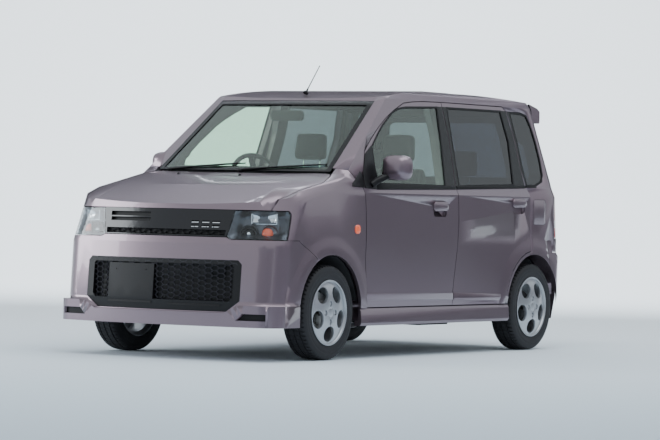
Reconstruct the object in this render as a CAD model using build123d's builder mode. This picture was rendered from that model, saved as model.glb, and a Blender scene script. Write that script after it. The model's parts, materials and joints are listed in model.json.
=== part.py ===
from build123d import *
import math
import os

# A five-door kei hatchback, built as an assembly of named pieces.
# Millimetres. +X forward, +Y to the car's left, +Z up. The origin is on the ground, midway along the length.

os.makedirs("parts", exist_ok=True)

# ---------------------------------------------------------------- driving dimensions
overall_length = 3395.0
overall_width = 1475.0
roof_height = 1550.0
wheelbase = 2340.0
front_axle_x = 1041.0
rear_axle_x = front_axle_x - wheelbase
track = 1295.0

tyre_radius = 266.0
tyre_width = 155.0
arch_radius = 322.0
flare_radius = 450.0

skin = 6.0             # thickness of an outer panel's flange
door_thickness = 45.0
shut_gap = 5.0         # gap between neighbouring panels
frame_outer = door_thickness + shut_gap
frame_inner = 92.0     # inner trim face of the body sides
bumper_wall = 22.0
glass_thickness = 5.0

sill_bottom_z = 188.0
sill_top_z = 286.0
belt_z = 990.0
cantrail_z = 1490.0

flare_lip = 26.0           # flat edge of a flare round the arch
flare_base_y = 718.0
door_arch_radius = 345.0   # the rear door's edge round the arch
glass_inset = 4.0          # glass lies this far under the skin
fit = 0.3                  # clearance of pieces that seat on one another
core_inset = 14.0          # a door's thick part stands in from its skin's edge by this much
seal_inset = 30.0          # the door opening's inner edge, in from the shut line
hood_bumper_z = 664.0      # top edge of both bumpers' corners
hood_front_z = 829.0
pillar_lap = 46.0          # the middle pillar reaches this far further under the front door
ditch_y = 530.0            # roof panel's side edge
rail_y = 450.0             # inner face of the roof rails
tailgate_x = -1486.0       # shut line between the roof and the tailgate
floor_z = 215.0
floor_wall = 20.0
firewall_x = 715.0
skirt_inner_y = 714.0

# Hinges of the doors and the tailgate: a pin under the neighbouring panel's edge and a goose-neck arm
hinge_depth = 18.0         # pin under the skin
hinge_ahead = 48.0         # pin ahead of the moving panel's edge
pin_radius = 5.0
pin_clearance = 0.25
eye_radius = 9.0
arm_width = 8.0
arm_height = 28.0
lug_height = 12.0
pocket_depth = 60.0        # pocket for the arms, inward from the pin
door_open = 65.0
tailgate_open = 85.0
front_hinge_x = 715.0
front_hinge_zs = (560.0, 850.0)
rear_hinge_points = ((-288.0, 430.0), (-333.0, 830.0))   # x, z of the rear door's two hinges
tailgate_hinge_z = 1507.0
tailgate_hinge_x = tailgate_x - shut_gap / 2 + hinge_ahead - 5
hinge_y = 706.0
tailgate_hinge_ys = (-330.0, 330.0)

# Front wheels steer about a line through the lower ball joint and the strut's top
ball_joint = (602.0, 185.0)      # y, z
strut_top = (470.0, 785.0)
tyre_side_y = track / 2 - tyre_width / 2
rim_radius = 165.0
rim_flange_radius = 183.0
hood_screen_gap = 4.0
hood_hinge_x = 838.0
hood_hinge_z = 1028.0
hood_hinge_y = 578.0
hood_arm_width = 14.0
lip_depth = 36.0
lip_top_z = 306.0
lip_dip_z = 264.0
skirt_front_x = 718.0
skirt_rear_x = -996.0
side_inner_y = 618.0       # inner face of the sills
cowl_z = 970.0
rear_floor_z = 450.0
spoiler_half = 560.0
spoiler_root = 500.0       # the part of the spoiler that grows out of the tailgate
wiper_length = 500.0
dash_half = 600.0
wheel_y = -330.0           # steering wheel, at the right-hand driver's place
wheel_ring_radius = 172.0
wheel_tube_radius = 14.0
seat_half = 235.0
front_seat_y = 310.0
rear_seat_half = 540.0
mirror_root = (330.0, 0.0, 1470.0)
mirror_x = 485.0
mirror_y = 800.0
spindle_radius = 14.0
shaft_radius = 14.0        # steering wheel's shaft
ball_pin_radius = 8.0
strut_rod_radius = 9.0
spindle_end_y = 680.0
hub_in_y = 614.0
handle_depth = 18.0        # recess behind a door handle
bolt_circle = 100.0        # wheel bolts, on their pitch diameter
bolt_count = 4
bolt_hole = 6.5
window_circle = 120.0      # middle of a rim's windows, out from the axle
plate_hole = 3.3           # for the number plate's two M6 bolts
plate_spacing = 210.0
plate_y = -194.5
plate_z = 486.0
wiper_clear = 16.0         # height of a wiper's pivot above the windscreen's foot

# Plan outlines of the body, level by level:
# z, half width, front x at the centre, fall of the front to its corners, front corner radius,
# rear x at the centre, fall of the rear to its corners, rear corner radius
LEVELS = [
    (185.0, 712.0, 1664.0, 85.0, 160.0, -1672.0, 20.0, 110.0),
    (330.0, 724.0, 1678.0, 91.0, 165.0, -1697.5, 22.0, 110.0),
    (640.0, 726.0, 1656.0, 95.0, 165.0, -1694.0, 22.0, 105.0),
    (940.0, 722.0, 1596.0, 125.0, 290.0, -1668.0, 26.0, 100.0),
    (belt_z, 703.0, 1583.0, 125.0, 285.0, -1660.0, 28.0, 96.0),
    (cantrail_z, 583.0, 1560.0, 54.0, 90.0, -1564.0, 34.0, 80.0),
    (1526.0, 560.0, 1550.0, 54.0, 90.0, -1550.0, 36.0, 75.0),
    (1552.0, 520.0, 1540.0, 54.0, 90.0, -1536.0, 38.0, 70.0),
]

# Windscreen: its foot is an arc in plan, carried back and up along one slope
screen_foot_z = 1038.0
screen_foot_x = 932.0
screen_sweep = 64.0        # how far the foot falls back at screen_half_width
screen_half_width = 602.0
screen_slope = 1.355       # run back for each unit of rise

# Hood line at the centre: nose, crown point and rear edge
nose_top = (1585.0, 866.0)
hood_mid = (1300.0, 966.0)
hood_rear = (932.0, 1040.0)
# How far the hood and fender tops fall away from the centre line: y, fall
HOOD_CROWN = [(0.0, 0.0), (520.0, 6.0), (640.0, 14.0), (690.0, 25.0), (712.0, 55.0), (740.0, 130.0)]

# Roof line at the centre
roof_front = (326.0, 1486.0)
roof_bend = (0.0, 1534.0)
roof_mid = (-600.0, roof_height)
roof_bend_rear = (-1200.0, 1542.0)
roof_rear = (-1600.0, 1516.0)

far = 2000.0               # reach of the cutting bodies, past every face of the car


def level_outline(level, inset):
    """Closed plan outline of the body at one level, moved in by inset."""
    z, half, front, front_fall, front_round, rear, rear_fall, rear_round = level
    half -= inset
    front -= inset
    rear += inset
    with BuildSketch(Plane.XY.offset(z)) as outline:
        with BuildLine():
            ThreePointArc((front - front_fall, -half), (front, 0), (front - front_fall, half))
            Line((front - front_fall, half), (rear + rear_fall, half))
            ThreePointArc((rear + rear_fall, half), (rear, 0), (rear + rear_fall, -half))
            Line((rear + rear_fall, -half), (front - front_fall, -half))
        make_face()
        fillet(outline.vertices().filter_by(lambda v: v.X > 0), max(front_round - inset, 6))
        fillet(outline.vertices().filter_by(lambda v: v.X < 0), max(rear_round - inset, 6))
    return outline.sketch


def under_hood_line(inset, low, high):
    """Everything under one straight stretch of the hood, with its crown and rounded shoulders."""
    slope = (high[1] - low[1]) / (low[0] - high[0])
    start_z = low[1] - (far - low[0]) * slope - inset
    with BuildPart() as under:
        with BuildSketch(Plane(origin=(far, 0, start_z), x_dir=(0, 1, 0), z_dir=(1, 0, 0))):
            with BuildLine():
                right = [(-max(y - inset, 0), -fall) for y, fall in HOOD_CROWN]
                left = [(max(y - inset, 0), -fall) for y, fall in HOOD_CROWN]
                Polyline([*reversed(right), *left[1:], (left[-1][0], -far), (right[-1][0], -far)],
                         close=True)
            make_face()
        extrude(amount=far, dir=(-1, 0, slope))
    return under.part


def ahead_of_screen(inset):
    """Everything ahead of and above the windscreen's outer face."""
    foot = screen_foot_x - inset * math.hypot(1, screen_slope)
    side = 800.0
    side_x = foot - screen_sweep * (side / screen_half_width) ** 2
    with BuildPart() as region:
        with BuildSketch(Plane.XY.offset(screen_foot_z)):
            with BuildLine():
                ThreePointArc((side_x, -side), (foot, 0), (side_x, side))
                Polyline((side_x, side), (2 * far, side), (2 * far, -side), (side_x, -side))
            make_face()
        extrude(amount=1000, dir=(-screen_slope, 0, 1))
        extrude(region.faces().sort_by(Axis.Z)[0], amount=600, dir=(screen_slope, 0, -1))
    return region.part


def roof_line(inset):
    """The car's side profile under the roof line, as wide as the cutting bodies."""
    with BuildPart() as profile:
        with BuildSketch(Plane.XZ.offset(-900)):
            with BuildLine():
                top = [(x, z - inset) for x, z in (roof_front, roof_bend, roof_mid, roof_bend_rear,
                                                   roof_rear)]
                ThreePointArc(top[0], top[1], top[2])
                ThreePointArc(top[2], top[3], top[4])
                Polyline(top[4], (-far, top[4][1] - 40), (-far, 0), (far, 0), (far, top[0][1] - 40), top[0])
            make_face()
        extrude(amount=1800)
    return profile.part


def body_block(inset=0.0):
    """The body's outer form, moved in by inset on every side but the floor's."""
    with BuildPart() as tub:
        for level in LEVELS:
            add(level_outline(level, inset))
        loft(ruled=True)
    with BuildPart() as block:
        add(tub.part)
        add(roof_line(inset), mode=Mode.INTERSECT)
        add(ahead_of_screen(inset), mode=Mode.SUBTRACT)
    with BuildPart() as nose:
        add(tub.part)
        add(under_hood_line(inset, nose_top, hood_mid), mode=Mode.INTERSECT)
        add(under_hood_line(inset, hood_mid, hood_rear), mode=Mode.INTERSECT)
        with BuildSketch(Plane.XZ.offset(-900)):
            with Locations((1300, 600)):
                Rectangle(1000, 1200)
        extrude(amount=1800, mode=Mode.INTERSECT)
    with BuildPart() as whole:
        add(block.part)
        add(nose.part)
    return whole.part


def side_prism(outline, grow=0.0, inner_y=250.0, outer_y=900.0):
    """A side view outline, closed and grown, carried across the car's left half."""
    with BuildPart() as prism:
        with BuildSketch(Plane.XZ.offset(-outer_y)):
            with BuildLine():
                Polyline(outline, close=True)
            make_face()
            if grow:
                offset(amount=grow, kind=Kind.INTERSECTION)
        extrude(amount=outer_y - inner_y)
    return prism.part


def end_prism(outline, start_x, end_x, grow=0.0):
    """A front view outline of (y, z) points, closed and grown, carried from start_x to end_x."""
    with BuildPart() as prism:
        with BuildSketch(Plane.YZ.offset(start_x)):
            with BuildLine():
                Polyline(outline, close=True)
            make_face()
            if grow:
                offset(amount=grow, kind=Kind.INTERSECTION)
        extrude(amount=end_x - start_x)
    return prism.part


def arch_points(axle_x, radius, start, stop, count=7):
    """Points of a wheel arch as (x, z), from the start to the stop angle in degrees."""
    step = (stop - start) / (count - 1)
    angles = [math.radians(start + i * step) for i in range(count)]
    return [(axle_x + radius * math.cos(a), tyre_radius + radius * math.sin(a)) for a in angles]


def wheel_space(axle_x, radius, inner_y, outer_y):
    """A cylinder about one axle on the left side."""
    with BuildPart() as space:
        with BuildSketch(Plane.XZ.offset(-outer_y)):
            with Locations((axle_x, tyre_radius)):
                Circle(radius)
        extrude(amount=outer_y - inner_y)
    return space.part


def flare(axle_x):
    """The raised ring round a wheel arch, on the left side."""
    with BuildPart() as ring:
        with BuildSketch(Plane(origin=(axle_x, 0, tyre_radius), x_dir=(1, 0, 0), z_dir=(0, 0, 1))):
            with BuildLine():
                Polyline(
                    (arch_radius, flare_base_y),
                    (arch_radius, overall_width / 2),
                    (arch_radius + flare_lip, overall_width / 2),
                    (flare_radius, flare_base_y + skin),
                    (flare_radius, flare_base_y),
                    close=True,
                )
            make_face()
        revolve(axis=Axis((axle_x, 0, tyre_radius), (0, 1, 0)))
    return ring.part


def shell(outer, inner):
    """What lies between two body blocks."""
    with BuildPart() as layer:
        add(outer)
        add(inner, mode=Mode.SUBTRACT)
    return layer.part




def hinge_arm(plane, open_angle):
    """Goose-neck arm about a hinge pin. Local +x runs to the neighbouring panel, +y out of the body."""
    turn = math.radians(open_angle)
    neck = -(hinge_ahead + arm_width / 2)
    opened = [(neck, -5), (neck - 4, 40)]
    across, up = math.cos(turn), math.sin(turn)
    closed = [(x * across - y * up, x * up + y * across) for x, y in opened]
    inner_y = hinge_depth - door_thickness + 2
    with BuildPart() as arm:
        with BuildSketch(plane.offset(-arm_height / 2)):
            with BuildLine():
                Polyline((0, 0), *closed, (-hinge_ahead - 40, inner_y))
            trace(line_width=arm_width)
            Circle(eye_radius)
            Circle(pin_radius + pin_clearance, mode=Mode.SUBTRACT)
        extrude(amount=arm_height)
    return arm.part


def hinge_lugs(plane):
    """Two lugs with the hinge pin between them, reaching in to the frame behind the arm's pocket."""
    with BuildPart() as lugs:
        for side in (-1, 1):
            low = side * (arm_height / 2 + 1 + lug_height / 2) - lug_height / 2
            with BuildSketch(plane.offset(low)):
                Circle(eye_radius)
                with Locations((0, -pocket_depth / 2 - 3)):
                    Rectangle(2 * eye_radius, pocket_depth + 6)
            extrude(amount=lug_height)
        reach = arm_height / 2 + 1 + lug_height
        with BuildSketch(plane.offset(-reach)):
            Circle(pin_radius)
        extrude(amount=2 * reach)
    return lugs.part


def hinge_pocket(plane):
    """Room for the goose-neck arm inside the frame."""
    reach = arm_height / 2 + lug_height + 8
    with BuildPart() as pocket:
        with BuildSketch(plane.offset(-reach)):
            with Locations((-40, -pocket_depth / 2)):
                Rectangle(108, pocket_depth)
        extrude(amount=2 * reach)
    return pocket.part


def hinge_notch(plane):
    """Room for a hinge in the thick part of the panel next to it."""
    reach = arm_height / 2 + lug_height + 8
    with BuildPart() as notch:
        with BuildSketch(plane.offset(-reach)):
            with Locations((-42, -20)):
                Rectangle(120, 2 * (hinge_depth - skin) + 40)
        extrude(amount=2 * reach)
    return notch.part


front_hinges = [Plane(origin=(front_hinge_x, hinge_y, z), x_dir=(1, 0, 0), z_dir=(0, 0, 1))
                for z in front_hinge_zs]
(low_x, low_z), (high_x, high_z) = rear_hinge_points
rear_hinge_dir = (high_x - low_x, 0, high_z - low_z)
rear_hinges = [
    Plane(origin=(x, hinge_y, z), x_dir=(high_z - low_z, 0, low_x - high_x), z_dir=rear_hinge_dir)
    for x, z in rear_hinge_points
]
tailgate_hinges = [
    Plane(origin=(tailgate_hinge_x, y, tailgate_hinge_z), x_dir=(1, 0, 0), z_dir=(0, -1, 0))
    for y in tailgate_hinge_ys
]


def lip_ring():
    """The lip that stands out along the foot of the front bumper."""
    with BuildPart() as ring:
        add(level_outline(LIP, 0))
        add(level_outline(LIP, lip_depth), mode=Mode.SUBTRACT)
        extrude(amount=lip_top_z - sill_bottom_z)
        with BuildSketch(Plane.XZ.offset(-900)):
            with Locations((1362 + 500, 300)):
                Rectangle(1000, 1000)
        extrude(amount=1800, mode=Mode.INTERSECT)
        with BuildSketch(Plane.YZ.offset(1400)):
            with BuildLine():
                Polyline((-512, 400), (-512, lip_top_z), (-436, lip_dip_z), (436, lip_dip_z),
                         (512, lip_top_z),
                         (512, 400), close=True)
            make_face()
        extrude(amount=500, mode=Mode.SUBTRACT)
    return ring.part


def axis_of(axle_x):
    """The line that one pair of wheels turns about."""
    return Axis((axle_x, 0, tyre_radius), (0, 1, 0))


outer_form = body_block(0)
skin_form = body_block(skin)
door_form = body_block(door_thickness)
frame_form = body_block(frame_outer)
trim_form = body_block(frame_inner)

skin_shell = shell(outer_form, skin_form)
door_core = shell(skin_form, door_form)
outer_band = shell(outer_form, frame_form)
frame_band = shell(frame_form, trim_form)
bumper_shell = shell(outer_form, body_block(bumper_wall))
bumper_seat_form = body_block(bumper_wall + fit)
glass_shell = shell(body_block(glass_inset), body_block(glass_inset + glass_thickness))
flare_form = body_block(LEVELS[2][1] - overall_width / 2)
with BuildPart() as front_ring:
    add(flare(front_axle_x))
    add(flare_form, mode=Mode.INTERSECT)
with BuildPart() as rear_ring:
    add(flare(rear_axle_x))
    add(flare_form, mode=Mode.INTERSECT)
front_flare = front_ring.part
rear_flare = rear_ring.part

# ------------------------------------------------ outlines of the panels, as (x, z) down the side
front_door_line = [(652, 288), (655, 400), (672, 567), (667, 685), (672, 849), (681, 910), (693, 966)]
pillar_line = [(651, 1060), (604, 1173), (518, 1240), (395, 1320), (290, 1379), (188, 1424), (64, 1470)]
door_top_line = [(-49, 1481), (-162, 1487)]
middle_line = [(-376, 1490), (-392, 1288), (-384, 1174), (-372, 1061), (-367, 993), (-373, 947), (-380, 781),
               (-367, 631), (-338, 465), (-324, 366), (-327, 288)]
rear_door_line = [(-987, 288), (-987, 330), *arch_points(rear_axle_x, door_arch_radius, 18, 83),
                  (-1258, 718), (-1259, 873), (-1260, 960), (-1241, 994), (-1226, 1007), (-1210, 1124),
                  (-1201, 1288), (-1159, 1462), (-1119, 1490)]

front_door_outline = [*front_door_line, *pillar_line, *door_top_line, *middle_line]
rear_door_outline = [*middle_line, *rear_door_line]
front_opening_outline = [*front_door_line, *pillar_line, *door_top_line,
                         *[(x + pillar_lap, z) for x, z in middle_line]]
front_glass_outline = [(520, 993), (520, 1110), (510, 1207), (434, 1270), (349, 1333), (215, 1409),
                       (142, 1434),
                       (51, 1446), (-319, 1459), (-291, 1229), (-249, 991)]
rear_glass_outline = [(-433, 1460), (-1087, 1462), (-1123, 1274), (-1082, 1010), (-410, 993)]
quarter_glass_outline = [(-1200, 1458), (-1341, 1458), (-1408, 1445), (-1443, 1377), (-1468, 1283),
                         (-1481, 1177), (-1479, 1082), (-1455, 1040), (-1362, 1011), (-1250, 1010),
                         (-1234, 1124), (-1225, 1288)]
fender_outline = [*reversed(front_door_line), (652, 188), (far, 188), (far, 1200), (852, 1082), (821, 1071),
                  (764, 1030)]
screen_outline = [(-590, 1052), (590, 1052), (530, 1473), (-530, 1473)]
hood_side_line = [(760, 600), (870, 606), (937, 642), (1065, 680), (1267, 678), (1414, 665), (1481, 644),
                  (1506, 632),
                  (far, 632)]   # x, y
headlamp_outline = [(1476, 664), (1463, 692), (1450, 729), (1429, 790), (1425, 812), (1434, 826),
                    (far, 826), (far, 664)]
# the bumper's middle, under the grille
bumper_rise_outline = [(-455, 655), (-409, 676), (409, 676), (455, 655)]
bumper_joint = [(1365, 657), (1287, 621), (1226, 586), (1190, 561)]
front_bumper_outline = [(far, hood_bumper_z), (1365, hood_bumper_z), *bumper_joint,
                        *arch_points(front_axle_x, arch_radius, 63, 4), (1362, sill_bottom_z),
                        (far, sill_bottom_z)]
rear_bumper_outline = [(-far, 600), (-1530, 600), (-1530, 672), (-1476, 672), (-1484, 600),
                       *arch_points(rear_axle_x, arch_radius, 130, 180), (-1612, sill_bottom_z),
                       (-far, sill_bottom_z)]
tailgate_outline = [(-520, 604), (520, 604), (548, 1008), (606, 1024), (536, 1400), (500, 1560),
                    (-500, 1560),
                    (-536, 1400), (-606, 1024), (-548, 1008)]
tail_glass_outline = [(-540, 1060), (540, 1060), (480, 1400), (-480, 1400)]
tail_lamp_outline = [(556, 690), (900, 690), (900, 1004), (568, 1004)]
upper_grille_outline = [(-438, 826.5), (438, 826.5), (409, 680), (-409, 680)]
lower_grille_outline = [(-515, 530), (-492, 553), (492, 553), (515, 530), (515, 330), (432, 270),
                        (-432, 270), (-515, 330)]
lower_mesh_outline = [(-470, 515), (-458, 527), (458, 527), (470, 515), (470, 347), (449, 326), (-449, 326),
                      (-470, 347)]
board_outline = [(-354, 319), (-35, 319), (-35, 520), (-354, 520)]
grille_slots = [
    [(-378, 755), (-93, 755), (-93, 776), (-378, 776)],
    [(-382, 783), (-95, 783), (-95, 807), (-382, 807)],
    [(-398, 686), (398, 686), (402, 716), (-402, 716)],
    *[[(y, z), (y + 47, z), (y + 53, z + 13), (y + 6, z + 13)] for y in (178, 244, 308) for z in (728, 752)],
]
lip_slots = [[(508, 225), (679, 225), (679, 262), (545, 262)]]
LIP = (sill_bottom_z, 737.5, overall_length / 2, 80.0, 130.0, -1000.0, 0.1, 10.0)   # as a row of LEVELS
spoiler_outline = [(-1500, 1500), (-1500, 1522), (-1616, 1496), (-1648, 1478), (-1651, 1412), (-1640, 1403),
                   (-1560, 1406)]
wiper_pivots = (-500.0, 20.0)
# Recess behind each outer door handle
front_handle_outline = [(-84, 822), (-84, 868), (-96, 880), (-222, 880), (-234, 868), (-234, 822),
                        (-220, 810), (-98, 810)]
rear_handle_outline = [(x - 953, z + 26) for x, z in front_handle_outline]

everywhere = 900.0         # half width of the cutting bodies


def save(piece, name):
    """Label a finished piece and write its file."""
    piece.label = name
    export_step(piece, f"parts/{name}.step")


def box(x0, x1, y0, y1, z0, z1):
    """A plain block between two corners."""
    with BuildPart() as block:
        with BuildSketch(Plane.XY.offset(z0)):
            with Locations(((x0 + x1) / 2, (y0 + y1) / 2)):
                Rectangle(x1 - x0, y1 - y0)
        extrude(amount=z1 - z0)
    return block.part


def bar(start, end, radius):
    """A round bar between two points."""
    line = Vector(*end) - Vector(*start)
    with BuildPart() as rod:
        with BuildSketch(Plane(origin=start, z_dir=line.normalized())):
            Circle(radius)
        extrude(amount=line.length)
    return rod.part


def side_block(outline, y0, y1):
    """A side view outline extruded between two y values."""
    with BuildPart() as block:
        with BuildSketch(Plane.XZ.offset(-y1)):
            with BuildLine():
                Polyline(outline, close=True)
            make_face()
        extrude(amount=y1 - y0)
    return block.part


def plan_prism(outline, z0, z1):
    """A plan outline of (x, y) points between two heights."""
    with BuildPart() as prism:
        with BuildSketch(Plane.XY.offset(z0)):
            with BuildLine():
                Polyline(outline, close=True)
            make_face()
        extrude(amount=z1 - z0)
    return prism.part


def both_sides(piece, name):
    """Save a left piece and its mirror image as two nodes."""
    save(piece, f"{name}_left")
    save(mirror(piece, about=Plane.XZ, mode=Mode.PRIVATE), f"{name}_right")


def pair(piece, name):
    """Save a left piece and its mirror image as one node."""
    with BuildPart() as two:
        add(piece)
        mirror(piece, about=Plane.XZ)
    save(two.part, name)


def cut(piece, *tools):
    """A piece less each of the tools."""
    with BuildPart() as left:
        add(piece)
        for tool in tools:
            add(tool, mode=Mode.SUBTRACT)
    return left.part


def common(piece, *tools):
    """What a piece has in common with every one of the tools."""
    with BuildPart() as left:
        add(piece)
        for tool in tools:
            add(tool, mode=Mode.INTERSECT)
    return left.part


def joined(*pieces):
    """Several pieces as one."""
    with BuildPart() as whole:
        for piece in pieces:
            add(piece)
    return whole.part


# ---------------------------------------------------------------- doors, left and right
half_gap = shut_gap / 2
front_edge = side_prism(front_door_outline, -half_gap)
rear_edge = side_prism(rear_door_outline, -half_gap)
front_core = common(door_core, side_prism(front_door_outline, -half_gap - core_inset))
rear_core = common(door_core, side_prism(rear_door_outline, -half_gap - core_inset))
front_window = side_prism(front_glass_outline)
rear_window = side_prism(rear_glass_outline)
handle_band = shell(outer_form, body_block(handle_depth))

with BuildPart() as front_door:
    add(skin_shell)
    add(front_edge, mode=Mode.INTERSECT)
    add(cut(front_core, *[hinge_notch(plane) for plane in rear_hinges]))
    add(front_window, mode=Mode.SUBTRACT)
    add(common(handle_band, side_prism(front_handle_outline)), mode=Mode.SUBTRACT)
    for plane in front_hinges:
        add(hinge_arm(plane, door_open))
both_sides(front_door.part, "front_door")

with BuildPart() as rear_door:
    add(skin_shell)
    add(rear_edge, mode=Mode.INTERSECT)
    add(rear_core)
    add(common(rear_flare, rear_edge))
    add(rear_window, mode=Mode.SUBTRACT)
    add(common(handle_band, side_prism(rear_handle_outline)), mode=Mode.SUBTRACT)
    for plane in rear_hinges:
        add(hinge_arm(plane, door_open))
both_sides(rear_door.part, "rear_door")

both_sides(common(glass_shell, side_prism(front_glass_outline, -fit)), "front_door_glass")
both_sides(common(glass_shell, side_prism(rear_glass_outline, -fit)), "rear_door_glass")

# ---------------------------------------------------------------- body sides
seat_form = body_block(glass_inset + glass_thickness + fit)
glass_bed = shell(outer_form, seat_form)
screen_hole = end_prism(screen_outline, -100, 1100, -24)
side_region = [(745, floor_z), (745, 1000), (870, 1000), (870, 1700), (-far, 1700), (-far, floor_z)]
tailgate_hole = end_prism(tailgate_outline, -1800, tailgate_x, -seal_inset)
tailgate_gap = common(outer_band, end_prism(tailgate_outline, -1800, tailgate_x, half_gap))
quarter_hole = side_prism(quarter_glass_outline, -12)
lamp_block = end_prism(tail_lamp_outline, -1800, -1575)
bumper_bed = shell(outer_form, bumper_seat_form)
lamp_room = common(bumper_bed, end_prism(tail_lamp_outline, -1800, -1575 + half_gap, half_gap))
rear_wheel_room = wheel_space(rear_axle_x, arch_radius, 540, everywhere)
front_wheel_room = wheel_space(front_axle_x, arch_radius + 8, 380, everywhere)

screen_foot_room = box(500, 1100, 0, 568, 900, 1080)

under_skin = shell(skin_form, frame_form)
side_inner = cut(
    common(frame_band, side_prism(side_region, inner_y=rail_y)),
    side_prism(front_opening_outline, -seal_inset),
    side_prism(rear_door_outline, -seal_inset),
    screen_hole,
    quarter_hole,
    tailgate_hole,
    rear_wheel_room,
    front_wheel_room,
    screen_foot_room,
    *[hinge_pocket(plane) for plane in (*front_hinges, *rear_hinges)],
)
side_outer = cut(
    common(outer_band, side_prism(side_region, inner_y=rail_y)),
    side_prism(front_door_outline, half_gap),
    side_prism(rear_door_outline, half_gap),
    side_prism(fender_outline, half_gap),
    screen_hole,
    common(glass_bed, end_prism(screen_outline, -100, 1100, fit)),
    quarter_hole,
    common(glass_bed, side_prism(quarter_glass_outline, fit)),
    box(-far, 500, -everywhere, ditch_y + fit, 1474, 1600),
    common(bumper_bed, side_prism(rear_bumper_outline, half_gap)),
    lamp_room,
    screen_foot_room,
    tailgate_gap,
    rear_wheel_room,
    box(-far, far, skirt_inner_y - fit, everywhere, 0, sill_top_z),
)
with BuildPart() as side_frame:
    add(side_inner)
    add(side_outer)
    add(common(under_skin, box(731, 745, 500, everywhere, 620, 830)))
    add(cut(common(rear_flare, side_prism(side_region)), side_prism(rear_door_outline, half_gap),
            side_prism(rear_bumper_outline, half_gap), box(-far, far, 0, everywhere, 0, sill_top_z)))
    for plane in (*front_hinges, *rear_hinges):
        add(hinge_lugs(plane))
both_sides(side_frame.part, "side_frame")
pair(common(glass_shell, side_prism(quarter_glass_outline)), "quarter_glass")
windscreen = common(glass_shell, end_prism(screen_outline, 100, 1100))
save(windscreen, "windscreen")

# ---------------------------------------------------------------- front panels


def hood_region(grow):
    """The hood's plan outline, grown, from its front edge's height up."""
    foot = screen_foot_x + hood_screen_gap
    corner_y = hood_side_line[0][1]
    corner_x = foot - screen_sweep * (corner_y / screen_half_width) ** 2
    side = [(corner_x, corner_y), *[(x, y) for x, y in hood_side_line if x > corner_x]]
    with BuildPart() as region:
        with BuildSketch(Plane.XY.offset(hood_front_z)):
            with BuildLine():
                ThreePointArc((corner_x, -corner_y), (foot, 0), (corner_x, corner_y))
                Polyline(*side, *[(x, -y) for x, y in reversed(side)])
            make_face()
            offset(amount=grow, kind=Kind.INTERSECTION)
        extrude(amount=400)
    return region.part


with BuildPart() as hood:
    add(bumper_shell)
    add(hood_region(-half_gap), mode=Mode.INTERSECT)
    for y in (-hood_hinge_y, hood_hinge_y):
        with BuildSketch(Plane.XZ.offset(-y - hood_arm_width / 2)):
            with BuildLine():
                Polyline((hood_hinge_x, hood_hinge_z), (hood_hinge_x + 34, hood_hinge_z - 18),
                         (hood_hinge_x + 110, hood_hinge_z - 25))
            trace(line_width=12)
            with Locations((hood_hinge_x, hood_hinge_z)):
                Circle(eye_radius)
                Circle(pin_radius + pin_clearance, mode=Mode.SUBTRACT)
        extrude(amount=hood_arm_width)
save(hood.part, "hood")

hood_room = plan_prism([*[(x, y + half_gap) for x, y in hood_side_line], (far, 0), (700, 0)],
                       hood_front_z - half_gap, 1300)
lamp_outline_room = side_prism(headlamp_outline, half_gap, inner_y=0)
bumper_room = side_prism(front_bumper_outline, half_gap, inner_y=0)
with BuildPart() as fender:
    add(skin_shell)
    add(side_prism(fender_outline, -half_gap, inner_y=500), mode=Mode.INTERSECT)
    add(common(front_flare, side_prism(fender_outline, -half_gap)))
    for tool in (hood_room, lamp_outline_room, bumper_room,
                 wheel_space(front_axle_x, arch_radius, 380, everywhere),
                 end_prism(screen_outline, -100, 1100, half_gap), box(-far, far, 0, everywhere, 0,
                                                                      sill_top_z)):
        add(tool, mode=Mode.SUBTRACT)
pair(fender.part, "front_fenders")

grille_room = joined(
    end_prism(upper_grille_outline, 1400, 1800, half_gap),
    end_prism(bumper_rise_outline, 1400, 1800, half_gap),
)
lamp_zone = common(side_prism(headlamp_outline, -half_gap, inner_y=0),
                   box(1300, 1800, 0, everywhere, 600, hood_front_z - half_gap))
lamp_lens = cut(common(skin_shell, lamp_zone), grille_room, hood_room)
with BuildPart() as lamp_cup:
    add(common(door_core, lamp_zone))
    for tool in (grille_room, hood_room):
        add(tool, mode=Mode.SUBTRACT)
pair(lamp_lens, "headlamp_lenses")
pair(lamp_cup.part, "headlamp_housings")

lower_hole = end_prism(lower_grille_outline, 1500, 1900)
with BuildPart() as front_bumper:
    add(bumper_shell)
    add(joined(side_prism(front_bumper_outline, inner_y=-everywhere),
               end_prism(bumper_rise_outline, 1400, 1800)),
        mode=Mode.INTERSECT)
    add(cut(common(joined(front_flare, mirror(front_flare, about=Plane.XZ, mode=Mode.PRIVATE)),
                   side_prism(front_bumper_outline, inner_y=-everywhere)), skin_form))
    add(lip_ring())
    add(lower_hole, mode=Mode.SUBTRACT)
    for outline in lip_slots:
        add(end_prism(outline, 1500, 1900), mode=Mode.SUBTRACT)
        add(end_prism([(-y, z) for y, z in outline], 1500, 1900), mode=Mode.SUBTRACT)
    room = wheel_space(front_axle_x, arch_radius, 380, everywhere)
    add(room, mode=Mode.SUBTRACT)
    mirror(room, about=Plane.XZ, mode=Mode.SUBTRACT)
save(front_bumper.part, "front_bumper")

with BuildPart() as upper_grille:
    add(bumper_shell)
    add(end_prism(upper_grille_outline, 1400, 1800), mode=Mode.INTERSECT)
    for outline in grille_slots:
        add(end_prism(outline, 1400, 1800), mode=Mode.SUBTRACT)
save(upper_grille.part, "upper_grille")

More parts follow.
